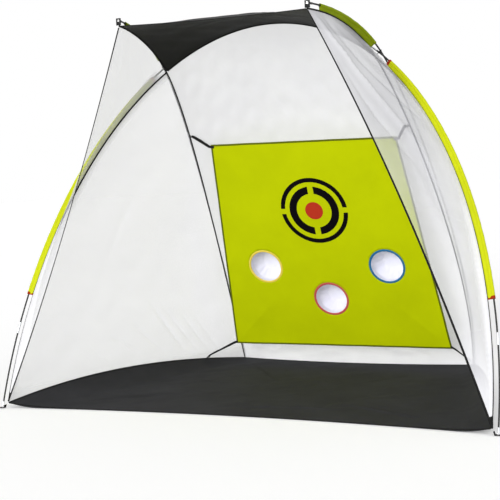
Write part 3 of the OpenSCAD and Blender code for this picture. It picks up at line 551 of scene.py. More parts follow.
poleCross = hoopAt(crossAngle) + poleShape["cross"] * crossOut
toPole = poleCross - crossSeam
footOff = np.array(poleShape["footOff"])
tipOff = np.array(poleShape["tipOff"])
lowPole = [rearCorner + footOff, lowSeam[1] + footOff, lowSeam[2] + toPole, poleCross]
highPole = [poleCross, highSeam[1] + toPole, highSeam[2] + tipOff, tipCorner + tipOff]
frontHem = bowedLine(netCorner, tipCorner, wallShape["hemBow"])
sideEdge = bowedLine(netCorner, rearCorner, wallShape["edgeBow"])


def twoPart(low, high, t):
    # 0 at the rear corner, 1 at the crossing, 2 at the front tip
    t = np.asarray(t, float)
    return np.where(t[..., None] <= 1, bezier(low, np.clip(t, 0, 1)), bezier(high, np.clip(t - 1, 0, 1)))


def seamAt(t):
    return twoPart(lowSeam, highSeam, t)


def sidePole(t):
    return twoPart(lowPole, highPole, t)


def hoopSeam(v):
    return hoopAt(mix(cornerAngle, crossAngle, v), hoopShape["inset"])


def roofArch(u):
    return hoopAt(mix(180 - crossAngle, crossAngle, u), hoopShape["inset"])


def hemAt(v):
    return bezier(frontHem, v)


def edgeAt(v):
    return bezier(sideEdge, v)


def bowedEdge(u, corner, bow):
    u = np.asarray(u, float)
    share = 4 * u * (1 - u)
    return np.stack([mix(-1, 1, u) * corner[0], corner[1] + bow[0] * share, corner[2] - bow[1] * share], -1)


def rearEdge(u):
    return bowedEdge(u, rearCorner, wallShape["rearBow"])


def canopyFront(u):
    return bowedEdge(u, tipCorner, wallShape["canopyBow"])


def mouthEdge(x):
    x = np.asarray(x, float)
    low, more = wallShape["mouthHeight"]
    y = netCorner[1] + wallShape["mouthBow"] * (1 - x * x)
    return np.stack([x * netCorner[0], y, low + more * np.abs(x) ** 8], -1)


# poles: bent sections, as in the frame


def arcThrough(a, m, b):
    p, q = m - a, b - a
    n = np.cross(p, q)
    middle = a + np.cross(p.dot(p) * q - q.dot(q) * p, n) / (2 * n.dot(n))
    x = unit(a - middle)
    y = np.cross(unit(np.cross(a - middle, m - middle)), x)
    return middle, x, y, np.linalg.norm(a - middle), math.acos(unit(b - middle).dot(x))


def bentPole(curve, start, stop, count):
    # arcs through each section's ends and middle; returns the pole's point at a distance along it
    pitch, gap = (stop - start) / count, poleShape["gap"]
    arcs = []
    for k in range(count):
        s, e = start + k * pitch + gap / 2, start + (k + 1) * pitch - gap / 2
        arcs.append(arcThrough(curve(s), curve((s + e) / 2), curve(e)))

    def pointAt(run):
        k = int(max(0, min(count - 1, math.floor((run - start) / pitch))))
        middle, x, y, radius, sweep = arcs[k]
        turn = (run - start - k * pitch - gap / 2) / (pitch - gap) * sweep
        return middle + radius * (math.cos(turn) * x + math.sin(turn) * y)
    return pointAt


hoopAngles = np.linspace(0, 180, 121)
sideTimes = np.linspace(0, 2, 121)
hoopRuns = runTable(hoopAt(hoopAngles))
sideRuns = runTable(sidePole(sideTimes))
hoopPoint = bentPole(
    lambda run: hoopAt(np.interp(run, hoopRuns, hoopAngles)),
    poleShape["hoopStart"], hoopRuns[-1] - poleShape["hoopStart"], poleShape["hoopSections"])
sidePoint = bentPole(
    lambda run: sidePole(np.interp(run, sideRuns, sideTimes)),
    poleShape["sideStart"], sideRuns[-1] - poleShape["tipBack"], poleShape["sideSections"])

# cloth panels: waves are height, size, seed and stretch along x and y, pulls are the start, end,
# width and height of creases, all measured on the cloth; size is the count of faces each way

roof = {
    "bulge": (0, 0, -0.014), "size": (110, 60), "flat": (1.47, 0.79), "thick": 0.0012,
    "ends": (0.001, 0.001, 0.003, 0.003), "fade": 0.10, "slackFrom": (0.06, 0.30),
    "waves": ((0.004, 0.4, 3, 1, 1), (0.0016, 0.12, 4, 1, 1)),
    "pulls": (((-0.55, 0.05), (-0.1, 0.35), 0.02, 0.008), ((0.55, 0.05), (0.1, 0.35), 0.02, 0.008)),
    "fold": ((-0.4, 0.5), (0.4, 0.46), 0.03, -0.008),
}
backWall = {
    "bulge": (0, 0.070, 0.0233), "size": (120, 150), "flat": (1.69, 2.51),
    "ends": (0.001, 0.001, 0.001, 0.001), "fade": 0.10,
    "waves": ((0.009, 0.45, 11, 1, 0.35), (0.003, 0.16, 12, 1, 1)),
    "wrinkles": (0.007, 0.22, 13, 1, 2.2), "wrinkleReach": 0.3,  # at the foot
    "pulls": (
        ((-0.74, 0.04), (-0.36, 0.5), 0.018, 0.012), ((-0.68, 0.02), (-0.1, 0.32), 0.018, 0.010),
        ((0.74, 0.04), (0.40, 0.55), 0.018, 0.012), ((0.66, 0.02), (0.16, 0.30), 0.018, 0.010),
        ((-0.5, 0.12), (0.2, 0.04), 0.018, 0.008), ((0.0, 0.16), (0.5, 0.08), 0.018, 0.008)),
}
frontWall = {
    "bulge": (0.006, 0, 0), "size": (60, 150), "flat": (0.76, 2.34),
    "ends": (0.002, 0.002, 0.025, 0.001), "fade": 0.07, "taut": 0.35,
    "waves": ((0.006, 0.4, 31, 1, 0.5), (0.002, 0.14, 32, 1, 1)),
    "pulls": (
        ((-0.36, 2.28), (0.02, 1.45), 0.018, 0.020), ((-0.30, 2.30), (0.16, 1.60), 0.016, -0.018),
        ((-0.26, 2.30), (0.25, 1.85), 0.018, 0.016), ((-0.34, 2.05), (-0.06, 1.35), 0.014, -0.014),
        ((-0.15, 2.22), (0.33, 2.05), 0.014, 0.010), ((-0.1, 1.5), (0.0, 0.8), 0.03, 0.006)),
}
sideWall = {
    "bulge": (0.010, 0.008, 0), "size": (110, 140), "flat": (2.03, 2.34),
    "ends": (0.002, 0.002, 0.001, 0.012), "fade": 0.08,
    "waves": ((0.007, 0.5, 21, 0.6, 1), (0.002, 0.15, 22, 1, 1)),
    "pulls": (
        ((0.14, 0.43), (0.50, 0.04), 0.007, 0.024), ((0.27, 0.38), (0.60, 0.05), 0.006, 0.022),
        ((0.42, 0.34), (0.70, 0.05), 0.006, 0.022), ((0.53, 0.33), (0.79, 0.06), 0.005, 0.019),
        ((0.00, 0.28), (0.34, 0.03), 0.007, 0.018), ((-0.18, 0.22), (0.17, 0.02), 0.007, 0.015),
        ((-0.36, 0.17), (-0.14, 0.02), 0.008, 0.010), ((0.0, 1.2), (-0.25, 0.6), 0.03, 0.006)),
}
ground = {
    "size": (150, 120), "flat": (2.95, 2.02), "thick": 0.0014, "inset": 0.002,
    "turnUp": 0.14, "rearFrom": (0.93, 0.068), "fade": 0.12,
    "waves": ((0.004, 0.5, 41, 1, 1), (0.002, 0.17, 42, 1, 1)),
    "pulls": (
        ((-1.2, 0.25), (-0.5, 0.75), 0.016, 0.012), ((1.2, 0.2), (0.45, 0.55), 0.016, 0.012),
        ((-0.7, 1.75), (-0.2, 1.1), 0.016, 0.010), ((0.7, 1.75), (0.3, 1.2), 0.016, 0.010),
        ((-0.3, 0.35), (0.6, 0.42), 0.016, 0.008), ((-0.9, 1.1), (-0.2, 0.95), 0.016, 0.008)),
}


# what is painted on the mesh: shares of 1, and heights and widths in metres, a ramp being its
# start and its run

cover = {
    "backFoot": (0.2, 0.9, 0.05),
    "backShade": {"most": 0.4, "top": (2.05, -0.3), "foot": (0.5, 0.5)},
    "tip": (1.5, 0.42),
    "taut": {"widths": (0.092, 0.044), "rise": (1.1, 0.7), "band": 3.0, "most": 0.8, "top": (1.96, -0.04)},
    "slack": {"high": 0.4, "rise": (0.9, 0.4), "tip": 0.85, "foot": (0.85, 1.6, 0.35), "band": (0.035, 0.95)},
    "slackShade": {"low": 0.8, "rise": (0.9, 0.7), "band": (0.14, 0.5), "tip": 0.4},
    "side": {"Right": 0.5, "Left": 0.0, "foot": (0.7, 0.16), "band": (0.04, 0.5)},
}


def ramp(value, start, run):
    return np.clip((value - start) / run, 0, 1)


def evenRun(count, ends):
    return np.linspace(ends[0], 1 - ends[1], count + 1)


def panelPoints(low, high, left, right, sheet):
    size, ends = sheet["size"], sheet["ends"]
    u, v = evenRun(size[0], ends[:2]), evenRun(size[1], ends[2:])
    a, b, c, d = low(0.0), low(1.0), high(0.0), high(1.0)
    lowLine, highLine, leftLine, rightLine = low(u), high(u), left(v), right(v)
    u, v = u[None, :, None], v[:, None, None]
    return (
        (1 - v) * lowLine + v * highLine + (1 - u) * leftLine[:, None] + u * rightLine[:, None]
        - (1 - u) * (1 - v) * a - u * (1 - v) * b - (1 - u) * v * c - u * v * d
        + np.array(sheet["bulge"]) * 16 * u * (1 - u) * v * (1 - v))


def clothUv(points):
    # metres along each row from its middle, and metres up the middle column
    steps = np.linalg.norm(np.diff(points, axis=1), axis=2)
    x = np.concatenate([np.zeros((len(points), 1)), np.cumsum(steps, 1)], 1)
    x = x - x[:, x.shape[1] // 2][:, None]
    y = runTable(points[:, points.shape[1] // 2])[:, None]
    return np.stack(np.broadcast_arrays(x, y), -1)


def clothNormals(points):
    return unit(np.cross(np.gradient(points, axis=1), np.gradient(points, axis=0)))


def edgeFade(points, reach):
    # 0 along the panel's edges and 1 further in than reach metres
    uv = clothUv(points)
    x, y = uv[..., 0], uv[..., 1]
    room = np.minimum(np.minimum(x - x[:, :1], x[:, -1:] - x), np.minimum(y, y.max() - y))
    share = np.clip(room / reach, 0, 1)
    return share * share * (3 - 2 * share)


def relief(points, sheet, height):
    # height(x, y) moves the cloth along its normal, in metres, fading at its edges
    uv = clothUv(points)
    moved = height(uv[..., 0], uv[..., 1]) * edgeFade(points, sheet["fade"])
    return points + clothNormals(points) * moved[..., None]


def constant(point):
    return lambda t: np.broadcast_to(point, np.shape(t) + (3,))


def waveHeight(x, y, rows):
    return sum(height * rollSeries(x * sx, y * sy, size, seed) for height, size, seed, sx, sy in rows)


def sheetHeight(sheet):
    return lambda x, y: waveHeight(x, y, sheet["waves"]) + creases(x, y, sheet["pulls"])


def roofHeight(x, y):
    # the front edge is drawn tight between the poles, so the slack lies further back
    loose = waveHeight(x, y, roof["waves"]) + 0.5 * creases(x, y, roof["pulls"])
    return loose * ramp(y, *roof["slackFrom"]) + crease(x, y, *roof["fold"])


def backHeight(x, y):
    wrinkles = waveHeight(x, y, [backWall["wrinkles"]]) * np.exp(-y / backWall["wrinkleReach"])
    return waveHeight(x, y, backWall["waves"]) + wrinkles + creases(x, y, backWall["pulls"])


def seamBand(spots, width, most):
    # the mesh is doubled along the hoop's seam, where the sleeve's flap lies behind it
    line = hoopSeam(np.linspace(0, 1, 80))
    near = np.abs(spots) * [1, 0, 1] + spots * [0, 1, 0]
    away = np.linalg.norm(near[:, None] - line[None], axis=2).min(1)
    return most * np.clip(1.6 - away / width, 0, 1)


def makeRoof():
    points = panelPoints(
        canopyFront, roofArch, lambda v: seamAt(2 - v) * flip, lambda v: seamAt(2 - v), roof)
    points = relief(points, roof, roofHeight)
    piece = makePiece("roofCloth", [gridPart(points, clothUv(points))], "roof", net,
                      ["canopy"], closed=False)
    applyModifier(piece, "SOLIDIFY", thickness=roof["thick"], offset=0)


def makeBackWall():
    points = panelPoints(rearEdge, roofArch, lambda v: seamAt(v) * flip, seamAt, backWall)
    points = relief(points, backWall, backHeight)
    piece = makePiece("backNetCloth", [gridPart(points, clothUv(points), turned=True)], "mesh", net,
                      ["back_net"], closed=False)
    least, most, reach = cover["backFoot"]
    paintShare(piece, "doubled", lambda p: mix(least, most, np.exp(-np.abs(p[:, 2]) / reach)))
    shade = cover["backShade"]
    paintShare(piece, "shaded", lambda p: (
        shade["most"] * ramp(p[:, 2], *shade["top"]) * ramp(p[:, 2], *shade["foot"])))


def nearTip(spots):
    start, reach = cover["tip"]
    return np.clip(start - np.linalg.norm(spots - tipCorner, axis=1) / reach, 0, 1)


def tautCover(p):
    own = cover["taut"]
    width = mix(*own["widths"], ramp(p[:, 2], *own["rise"]))
    return np.minimum(seamBand(p, width, own["band"]), own["most"] * ramp(p[:, 2], *own["top"]))


def slackCover(p):
    # the slack net lies double in folds at its top and foot
    own = cover["slack"]
    top = np.maximum(own["high"] * ramp(p[:, 2], *own["rise"]), own["tip"] * nearTip(p))
    most, start, reach = own["foot"]
    foot = most * np.clip(start - p[:, 2] / reach, 0, 1)
    return np.maximum(top, np.maximum(foot, seamBand(p, *own["band"])))


def slackShade(p):
    own = cover["slackShade"]
    shade = mix(own["low"], 1, ramp(p[:, 2], *own["rise"]))
    return shade - np.maximum(seamBand(p, *own["band"]), own["tip"] * nearTip(p))


def sideCover(p, side):
    own = cover["side"]
    most, reach = own["foot"]
    foot = np.clip(most - p[:, 2] / reach, 0, most)
    return np.maximum(own[side], np.maximum(foot, seamBand(p, *own["band"])))


def makeFrontWalls():
    points = panelPoints(constant(netCorner), lambda u: seamAt(2 - u), hemAt, hoopSeam, frontWall)
    height = sheetHeight(frontWall)
    slack = relief(points, frontWall, height)
    taut = relief(points, frontWall, lambda x, y: frontWall["taut"] * height(x, y))
    parts = gridPart(slack, clothUv(slack)), mirroredPart(gridPart(taut, clothUv(taut)))
    for side, part in zip(("Right", "Left"), parts):
        piece = makePiece("frontNetCloth" + side, [part], "mesh", net,
                          ["front_net_" + side.lower()], closed=False)
        if side == "Left":
            paintShare(piece, "doubled", tautCover)
        else:
            paintShare(piece, "doubled", slackCover)
            paintShare(piece, "shaded", slackShade)


def makeSideWalls():
    points = panelPoints(edgeAt, constant(crossSeam), hoopSeam, seamAt, sideWall)
    points = relief(points, sideWall, sheetHeight(sideWall))
    right = gridPart(points, clothUv(points))
    for side, part in (("Right", right), ("Left", mirroredPart(right))):
        piece = makePiece("sideNetCloth" + side, [part], "mesh", net,
                          ["side_net_" + side.lower()], closed=False)
        paintShare(piece, "doubled", lambda p: sideCover(p, side))


def makeFloor():
    inset = ground["inset"]
    x = np.linspace(inset - 1, 1 - inset, ground["size"][0] + 1)[None, :]
    v = np.linspace(inset, 1 - inset, ground["size"][1] + 1)[:, None]
    edge = edgeAt(v[:, 0])[:, None]
    lift = (np.maximum(0, np.abs(x) - 1 + ground["turnUp"]) / ground["turnUp"]) ** 2
    base = ground["thick"] / 2
    front = mouthEdge(x)[..., 1] - netCorner[1]
    rear = rearEdge((x + 1) / 2)
    y = edge[..., 1] + (1 - v) * front + v * (rear[..., 1] - rearCorner[1])
    points = np.stack([x * edge[..., 0], y, base + lift * (edge[..., 2] - base)], -1)
    rise = rear[..., 2] - points[..., 2]
    points[..., 2] += ramp(v, *ground["rearFrom"]) ** 2 * np.maximum(rise, 0)  # up to the rear tape
    uv = clothUv(points)
    rumple = sheetHeight(ground)(points[..., 0], points[..., 1])
    points[..., 2] += np.maximum(0, rumple) * edgeFade(points, ground["fade"])
    piece = makePiece("floorCloth", [gridPart(points, uv)], "floor", net,
                      ["floor_sheet"], closed=False)
    applyModifier(piece, "SOLIDIFY", thickness=ground["thick"], offset=0)


makeRoof()
makeBackWall()
makeFrontWalls()
makeSideWalls()
makeFloor()
print("roof, walls and floor made")

# tapes on the seams and hems, as half widths and half thicknesses

tape = {"seam": (0.0062, 0.0022), "rear": (0.0056, 0.0040), "floor": (0.0042, 0.0030), "inside": 0.0045}
seamOval = ovalProfile(*tape["seam"])


def makeTape(name, parts, node):
    makePiece(name, parts, "tape", net, [node])


def tapePair(name, node, path, sides, profile):
    for side, turn in (("Right", np.ones(3)), ("Left", flip)):
        makeTape(name + side, [sweepPart(path * turn, sides * turn, profile)], node + "_" + side.lower())


def makeTapes():
    v = np.linspace(0.004, 0.996, 150)
    inward = hoopInward(mix(cornerAngle, crossAngle, v))  # this tape is sewn on the inner side of the seam
    tapePair("hoopSeamTape", "hoop_seam", hoopSeam(v) + tape["inside"] * inward, inward, seamOval)
    t = np.linspace(0, 2, 220)
    tapePair("rearSeamTape", "rear_seam", seamAt(t), sidePole(t) - seamAt(t), ovalProfile(*tape["rear"]))
    tapePair("frontHemTape", "front_hem", hemAt(v), hoopSeam(v) - hemAt(v) + 0.02 * across, seamOval)
    u = np.linspace(0.006, 0.994, 100)
    arch = sweepPart(roofArch(u), hoopInward(mix(180 - crossAngle, crossAngle, u)), seamOval)
    makeTape("roofSeamTape", [arch], "roof_seam")
    back = np.array([0, 1.0, 0])
    makeTape("canopyHemTape", [sweepPart(canopyFront(u), back, seamOval)], "canopy_hem")
    oval = ovalProfile(*tape["floor"])
    right = sweepPart(edgeAt(np.linspace(0.004, 0.996, 120)), -across, oval)
    parts = [right, mirroredPart(right)]
    x = np.linspace(-0.993, 0.993, 180)
    for line in (mouthEdge(x), rearEdge((x + 1) / 2)):
        line[:, 2] = np.maximum(line[:, 2], tape["floor"][1])
        parts.append(sweepPart(line, back, oval))
    makeTape("floorEdgeTape", parts, "floor_edging")


makeTapes()

# pole sleeves

sleeve = {
    "radius": 0.0089, "tailHalf": 0.0011, "tailBack": 0.0015, "thick": 0.0008,
    "step": 0.012, "trim": 0.015, "trimOut": 0.0011,
    "pucker": (0.05, 0.05), "sway": (0.0012, 0.09),  # how much and how long
}


def sleeveProfile(tail, grow=0.0):
    # round over the pole, then flat to the seam
    turn = np.radians(np.linspace(28, 332, 15))
    r = sleeve["radius"] + grow
    ring = np.stack([r * np.cos(turn), r * np.sin(turn)], -1)
    half = sleeve["tailHalf"] + grow
    ends = [[tail, -half], [mix(r, tail, 0.5), -half * 1.3]]
    starts = [[mix(r, tail, 0.5), half * 1.3], [tail, half]]
    return np.concatenate([starts[::-1], ring, ends[::-1]])


def sleevePart(centres, inward, tails, seed):
    count = len(centres)
    run = runTable(centres)
    profiles = np.stack([sleeveProfile(tail) for tail in tails])
    length = np.linalg.norm(profiles, axis=2)
    turn = np.arctan2(profiles[..., 1], profiles[..., 0])
    much, size = sleeve["pucker"]
    pucker = rollSeries(run[:, None] * np.ones_like(turn), turn * 0.02, size, seed)
    loose = 1 + much * pucker * np.clip((length < 0.012), 0, 1)
    profiles = profiles * loose[..., None]
    much, size = sleeve["sway"]
    sway = much * rollSeries(run, np.zeros(count), size, seed + 1)
    profiles[:, (0, 1, -2, -1), 1] += sway[:, None] * np.array([0.4, 1, 1, 0.4])
    points, faces, corners = sweepPart(centres, inward, profiles, caps=False)
    # a row of stitches closes the tail, so the ring is left open there
    around = profiles.shape[1]
    kept = [k for k in range(len(faces)) if k % around != around - 1]
    return points, [faces[k] for k in kept], [corners[k] for k in kept]


def trimPart(pointAt, inwardAt, first):
    spots = np.linspace(first, first + sleeve["trim"], 4)
    inward, tails = inwardAt(spots)
    profiles = np.stack([sleeveProfile(tail, sleeve["trimOut"]) for tail in tails])
    return sweepPart(np.array([pointAt(run) for run in spots]), inward, profiles)


def makeSleeve(name, node, finish, pointAt, inwardAt, start, stop, seed,
               sides=("Right", "Left"), trims=True):
    runs = np.linspace(start, stop, max(8, round((stop - start) / sleeve["step"])))
    body = sleevePart(np.array([pointAt(run) for run in runs]), *inwardAt(runs), seed)
    bands = [trimPart(pointAt, inwardAt, first) for first in (start - 0.001, stop - sleeve["trim"] + 0.001)]
    for side in sides:
        turned = mirroredPart if side == "Left" else (lambda part: part)
        suffix = side if len(sides) > 1 else ""
        whole = node + "_" + side.lower() if suffix else node
        piece = makePiece(name + suffix, [turned(body)], finish, net, [whole], closed=False)
        applyModifier(piece, "SOLIDIFY", thickness=sleeve["thick"], offset=0)
        pieces = []
        if trims:
            trim = [turned(part) for part in bands]
            pieces = [makePiece(name + "Trim" + suffix, trim, "trim", net)]


hoopLength = hoopRuns[-1]
crossAlong = hoopRuns[round(120 * crossAngle / 180)]
sideCross = sideRuns[60]


def hoopTail(runs):
    angles = np.interp(runs, hoopRuns, hoopAngles)
    return hoopInward(angles), np.full(len(runs), hoopShape["inset"] - sleeve["tailBack"])


def sideTail(runs):
    inward = []
    for run in runs:
        toSeam = seamAt(np.interp(run, sideRuns, sideTimes)) - sidePoint(run)
        along = unit(sidePoint(run + 0.001) - sidePoint(run - 0.001))
        inward.append(toSeam - toSeam.dot(along) * along)
    inward = np.array(inward)
    return unit(inward), np.linalg.norm(inward, axis=1) - sleeve["tailBack"]


makeSleeve("hoopSleeve", "hoop_sleeve", "bright", hoopPoint, hoopTail,
           0.700, crossAlong - 0.100, 51)
makeSleeve("topSleeve", "top_sleeve", "grey", hoopPoint, hoopTail,
           crossAlong + 0.100, hoopLength - crossAlong - 0.100, 53, sides=("Middle",), trims=False)
# the side sleeves take the lime sleeve cloth darkened, painted shade
makeSleeve("sideSleeve", "side_sleeve", "olive", sidePoint, sideTail,
           sideCross + 0.075, sideRuns[-1] - 0.105, 55, trims=False)
print("tapes and sleeves made")

# target sheet and its pockets, placed in metres across and down from the middle of the top edge

sheetShape = {
    "topHalf": 0.623, "lowHalf": 0.764, "height": 1.458, "lean": 21.4, "topY": 1.152, "topZ": 1.509,
    "hem": 0.012, "hemThick": (0.0011, 0.0018), "edge": 0.004, "thick": 0.0012, "size": (150, 146),
    "waves": ((0.0014, 0.42, 61, 1, 1), (0.0004, 0.13, 62, 1, 1)),
    "quiet": (0.125, 0.12),  # round each pocket
    "held": 0.12,  # at the corners
    "pull": {"end": 0.34, "fromTop": 0.42, "fromFoot": 0.4, "width": 0.03, "height": 0.003},
}
pockets = {
    "places": ((-0.420, 0.870), (0.0, 1.106), (0.420, 0.870)),
    "names": ("left", "middle", "right"),
    "rims": ("rimYellow", "rimRed", "rimBlue"),
    "holeRadius": 0.1160,
    "rimMiddle": 0.1128,
    "rimHalf": 0.0074,
    "rimThick": 0.0030,
    "rimPucker": 0.0004,
}
pocketBag = {
    "radius": 0.1135,
    "straight": 0.3,  # share of its run before it rounds
    "taper": 0.010,
    "shoulder": 0.003,
    "round": 0.6,
    "run": 0.21,
    "depth": 0.108,
    "depthCurve": (0.03, 1.3, 0.9),
    "gather": {"folds": 13, "wander": (2.0, 3), "height": 0.0022, "rate": 2.2},
    "soft": {"height": 0.002, "size": 0.09, "rate": 3},
    "calmRadius": 0.08,
    "sag": 0.006,
}
targetLean = math.radians(sheetShape["lean"])
downSlant = np.array([0, math.sin(targetLean), -math.cos(targetLean)])
outSlant = np.array([0, -math.cos(targetLean), -math.sin(targetLean)])
targetTop = np.array([0, sheetShape["topY"], sheetShape["topZ"]])


def halfWidth(down):
    return mix(sheetShape["topHalf"], sheetShape["lowHalf"], down / sheetShape["height"])


def sheetWave(x, down):
    # slack between the four corner straps, quiet round the pockets
    tall = sheetShape["height"]
    quiet = 1.0
    for px, pd in pockets["places"]:
        quiet = quiet * ramp(np.hypot(x - px, down - pd), *sheetShape["quiet"])
    wave = waveHeight(x, down, sheetShape["waves"])
    pull = sheetShape["pull"]
    for side in (-1, 1):
        for start, end in ((0.0, pull["fromTop"]), (tall, tall - pull["fromFoot"])):
            wave = wave + crease(x, down, (side * halfWidth(start), start), (side * pull["end"], end),
                                 pull["width"], pull["height"])
    held = np.hypot(np.abs(x) - halfWidth(down), np.minimum(down, tall - down)) / sheetShape["held"]
    return wave * quiet * np.clip(held, 0, 1)


def onTarget(x, down, out=0.0):
    x, down, out = np.broadcast_arrays(np.asarray(x, float), down, out)
    out = out + sheetWave(x, down)
    return targetTop + x[..., None] * across + down[..., None] * downSlant + out[..., None] * outSlant


def makeTargetSheet():
    cols, rows = sheetShape["size"]
    edge = sheetShape["edge"]
    share = np.linspace(-1, 1, cols + 1)[None, :]
    down = np.linspace(edge, sheetShape["height"] - edge, rows + 1)[:, None]
    x = share * (halfWidth(down) - edge)
    down = np.broadcast_to(down, x.shape).copy()
    inside = np.zeros(x.shape, bool)
    for px, pd in pockets["places"]:
        away = np.hypot(x - px, down - pd)
        hole = away < pockets["holeRadius"]
        beside = np.zeros(x.shape, bool)
        for stepRow in (-1, 0, 1):
            for stepCol in (-1, 0, 1):
                beside |= np.roll(hole, (stepRow, stepCol), (0, 1))
        beside &= ~hole
        pull = np.where(beside, pockets["holeRadius"] / np.maximum(away, 1e-6), 1)  # onto the round edge
        x = px + (x - px) * pull
        down = pd + (down - pd) * pull
        inside |= hole
    points, faces, corners = gridPart(onTarget(x, down), np.stack([x, down], -1), turned=True)
    keep = [k for k, face in enumerate(faces) if not inside.reshape(-1)[face].any()]
    part = (points, [faces[k] for k in keep], [corners[k] for k in keep])
    cloths = ("target", "targetBack")  # the print is on the front only
    piece = makePiece("targetCloth", [part], cloths, target, ["target_sheet"], closed=False)
    editAll()
    bpy.ops.mesh.delete_loose()
    bpy.ops.object.mode_set(mode="OBJECT")
    applyModifier(piece, "SOLIDIFY", thickness=sheetShape["thick"], offset=0, material_offset=1)


def hemLoop(border, out):
    # round the sheet at one distance in from its edge
    bottom = sheetShape["height"] - border
    top, low = halfWidth(border) - border, halfWidth(bottom) - border
    corners = np.array([(-top, border), (top, border), (low, bottom), (-low, bottom)])
    shares = np.linspace(0, 1, 90, endpoint=False)
    spots = np.array([mix(corners[k], corners[(k + 1) % 4], f) for k in range(4) for f in shares])
    return onTarget(spots[:, 0], spots[:, 1], out)


def makeTargetHem():
    hem = sheetShape["hem"]
    edge, thick = sheetShape["hemThick"]
    front = [(0.0, edge), (0.002, thick), (hem - 0.002, thick), (hem, edge)]
    section = front + [(border, -out) for border, out in front[::-1]]
    rings = np.stack([hemLoop(border, out) for border, out in section], 1)
    rings = np.concatenate([rings, rings[:1]])
    uv = np.stack(np.broadcast_arrays(runTable(rings[:, 0])[:, None], runTable(section)[None, :]), -1)
    makePiece("targetHem", [gridPart(rings, uv, closed=True)], "hem", target,
              ["target_hem"])


def makePocketRim(name, finish, px, pd, turn, phase):
    pucker = pockets["rimPucker"] * np.sin(turn * 24 + phase)
    path = targetTop + (px + pockets["rimMiddle"] * np.cos(turn))[:, None] * across
    path = path + (pd + pockets["rimMiddle"] * np.sin(turn))[:, None] * downSlant
    path = path + pucker[:, None] * outSlant
    centre = targetTop + px * across + pd * downSlant
    oval = ovalProfile(pockets["rimHalf"], pockets["rimThick"], 14)
    makePiece("pocketRim" + name.title(), [sweepPart(path, path - centre, oval, closed=True)], finish, target,
              ["pocket_rim_" + name])


def makePocketBag(name, px, pd, turn, phase):
    # gathered mesh behind the rim, nearly straight at first and then round to its middle
    t = np.linspace(0, 1, 30)[:, None]
    mouth, straight = pocketBag["radius"], pocketBag["straight"]
    start, rate, power = pocketBag["depthCurve"]
    depth = pocketBag["depth"] * np.minimum(1, start + rate * t) ** power
    rounded = np.clip((1 - t) / (1 - straight), 0, 1) ** pocketBag["round"]
    radius = np.where(t < straight, mouth - pocketBag["taper"] * t, (mouth - pocketBag["shoulder"]) * rounded)
    turn = turn[None, :]
    fold, soft = pocketBag["gather"], pocketBag["soft"]
    much, often = fold["wander"]
    gather = np.sin(turn * fold["folds"] + much * np.sin(turn * often + phase))
    gather = gather * fold["height"] * np.clip(t * fold["rate"], 0, 1)
    loose = soft["height"] * rollSeries(turn * 0.12, t * 0.2, soft["size"], 70 + phase)
    loose = loose * np.clip(t * soft["rate"], 0, 1)
    radius = np.maximum(radius + (gather + loose) * np.clip(radius / pocketBag["calmRadius"], 0, 1), 0.0)
    x = px + radius * np.cos(turn)
    down = pd + radius * np.sin(turn) + pocketBag["sag"] * np.sin(math.pi * np.clip(t, 0, 1))
    depth = np.broadcast_to(depth, x.shape)
    points = targetTop + x[..., None] * across + down[..., None] * downSlant - depth[..., None] * outSlant
    uv = np.stack(np.broadcast_arrays(turn * mouth, t * pocketBag["run"]), -1)
    bag = makePiece("pocketNet" + name.title(), [gridPart(points, uv, closed=True)], "pocketMesh", target,
                    ["pocket_net_" + name], closed=False)
    paintShare(bag, "doubled", lambda p: np.zeros(len(p)))


makeTargetSheet()
makeTargetHem()
roundTurn = np.linspace(0, 2 * math.pi, 112, endpoint=False)
for k, (name, finish, (px, pd)) in enumerate(zip(pockets["names"], pockets["rims"], pockets["places"])):
    makePocketRim(name, finish, px, pd, roundTurn, k)
    makePocketBag(name, px, pd, roundTurn, k)
print("target and pockets made")

# straps, hooks and ties

strap = {
    "width": 0.018, "thick": 0.0022, "hold": 0.014, "ringTime": 0.72, "ringIn": 0.012, "ringOff": 0.014,
    "toggleIn": 0.010, "hookTime": 0.83, "hookOff": 0.0036, "hookLength": 0.015, "fold": 0.0024,
    "lead": (0.008, 0.006), "lap": (0.010, 0.022), "doubled": 0.55, "lowLap": (0.020, 0.012, 0.020),
}
band = bandProfile(strap["width"], strap["thick"])
seamRun = unit(seamAt(strap["ringTime"] + 0.01) - seamAt(strap["ringTime"] - 0.01))
insideRun = unit(np.array([0, -seamRun[2], seamRun[1]]))
ringMiddle = seamAt(strap["ringTime"]) + np.array([-strap["ringIn"], 0, 0]) + strap["ringOff"] * insideRun
hemRun = unit((sheetShape["lowHalf"] - sheetShape["topHalf"]) * across + sheetShape["height"] * downSlant)
hemOut = unit(across - hemRun[0] * hemRun)


def cornerAt(down):
    return targetTop + halfWidth(down) * across + down * downSlant


def smoothPath(points, count):
    # an even run of points on a curve through the given ones
    points = np.asarray(points, float)
    run = runTable(points)
    at = np.linspace(0, run[-1], count)
    bent = np.stack([np.interp(at, run, points[:, k]) for k in range(3)], -1)
    for _ in range(2):
        bent[1:-1] = (bent[:-2] + 2 * bent[1:-1] + bent[2:]) / 4
    return bent


def makeStrap(name, node, parts, body, side):
    made = [mirroredPart(part) if side == "Left" else part for part in parts]
    return makePiece(name + side, made, "webbing", body, [node + "_" + side.lower()])


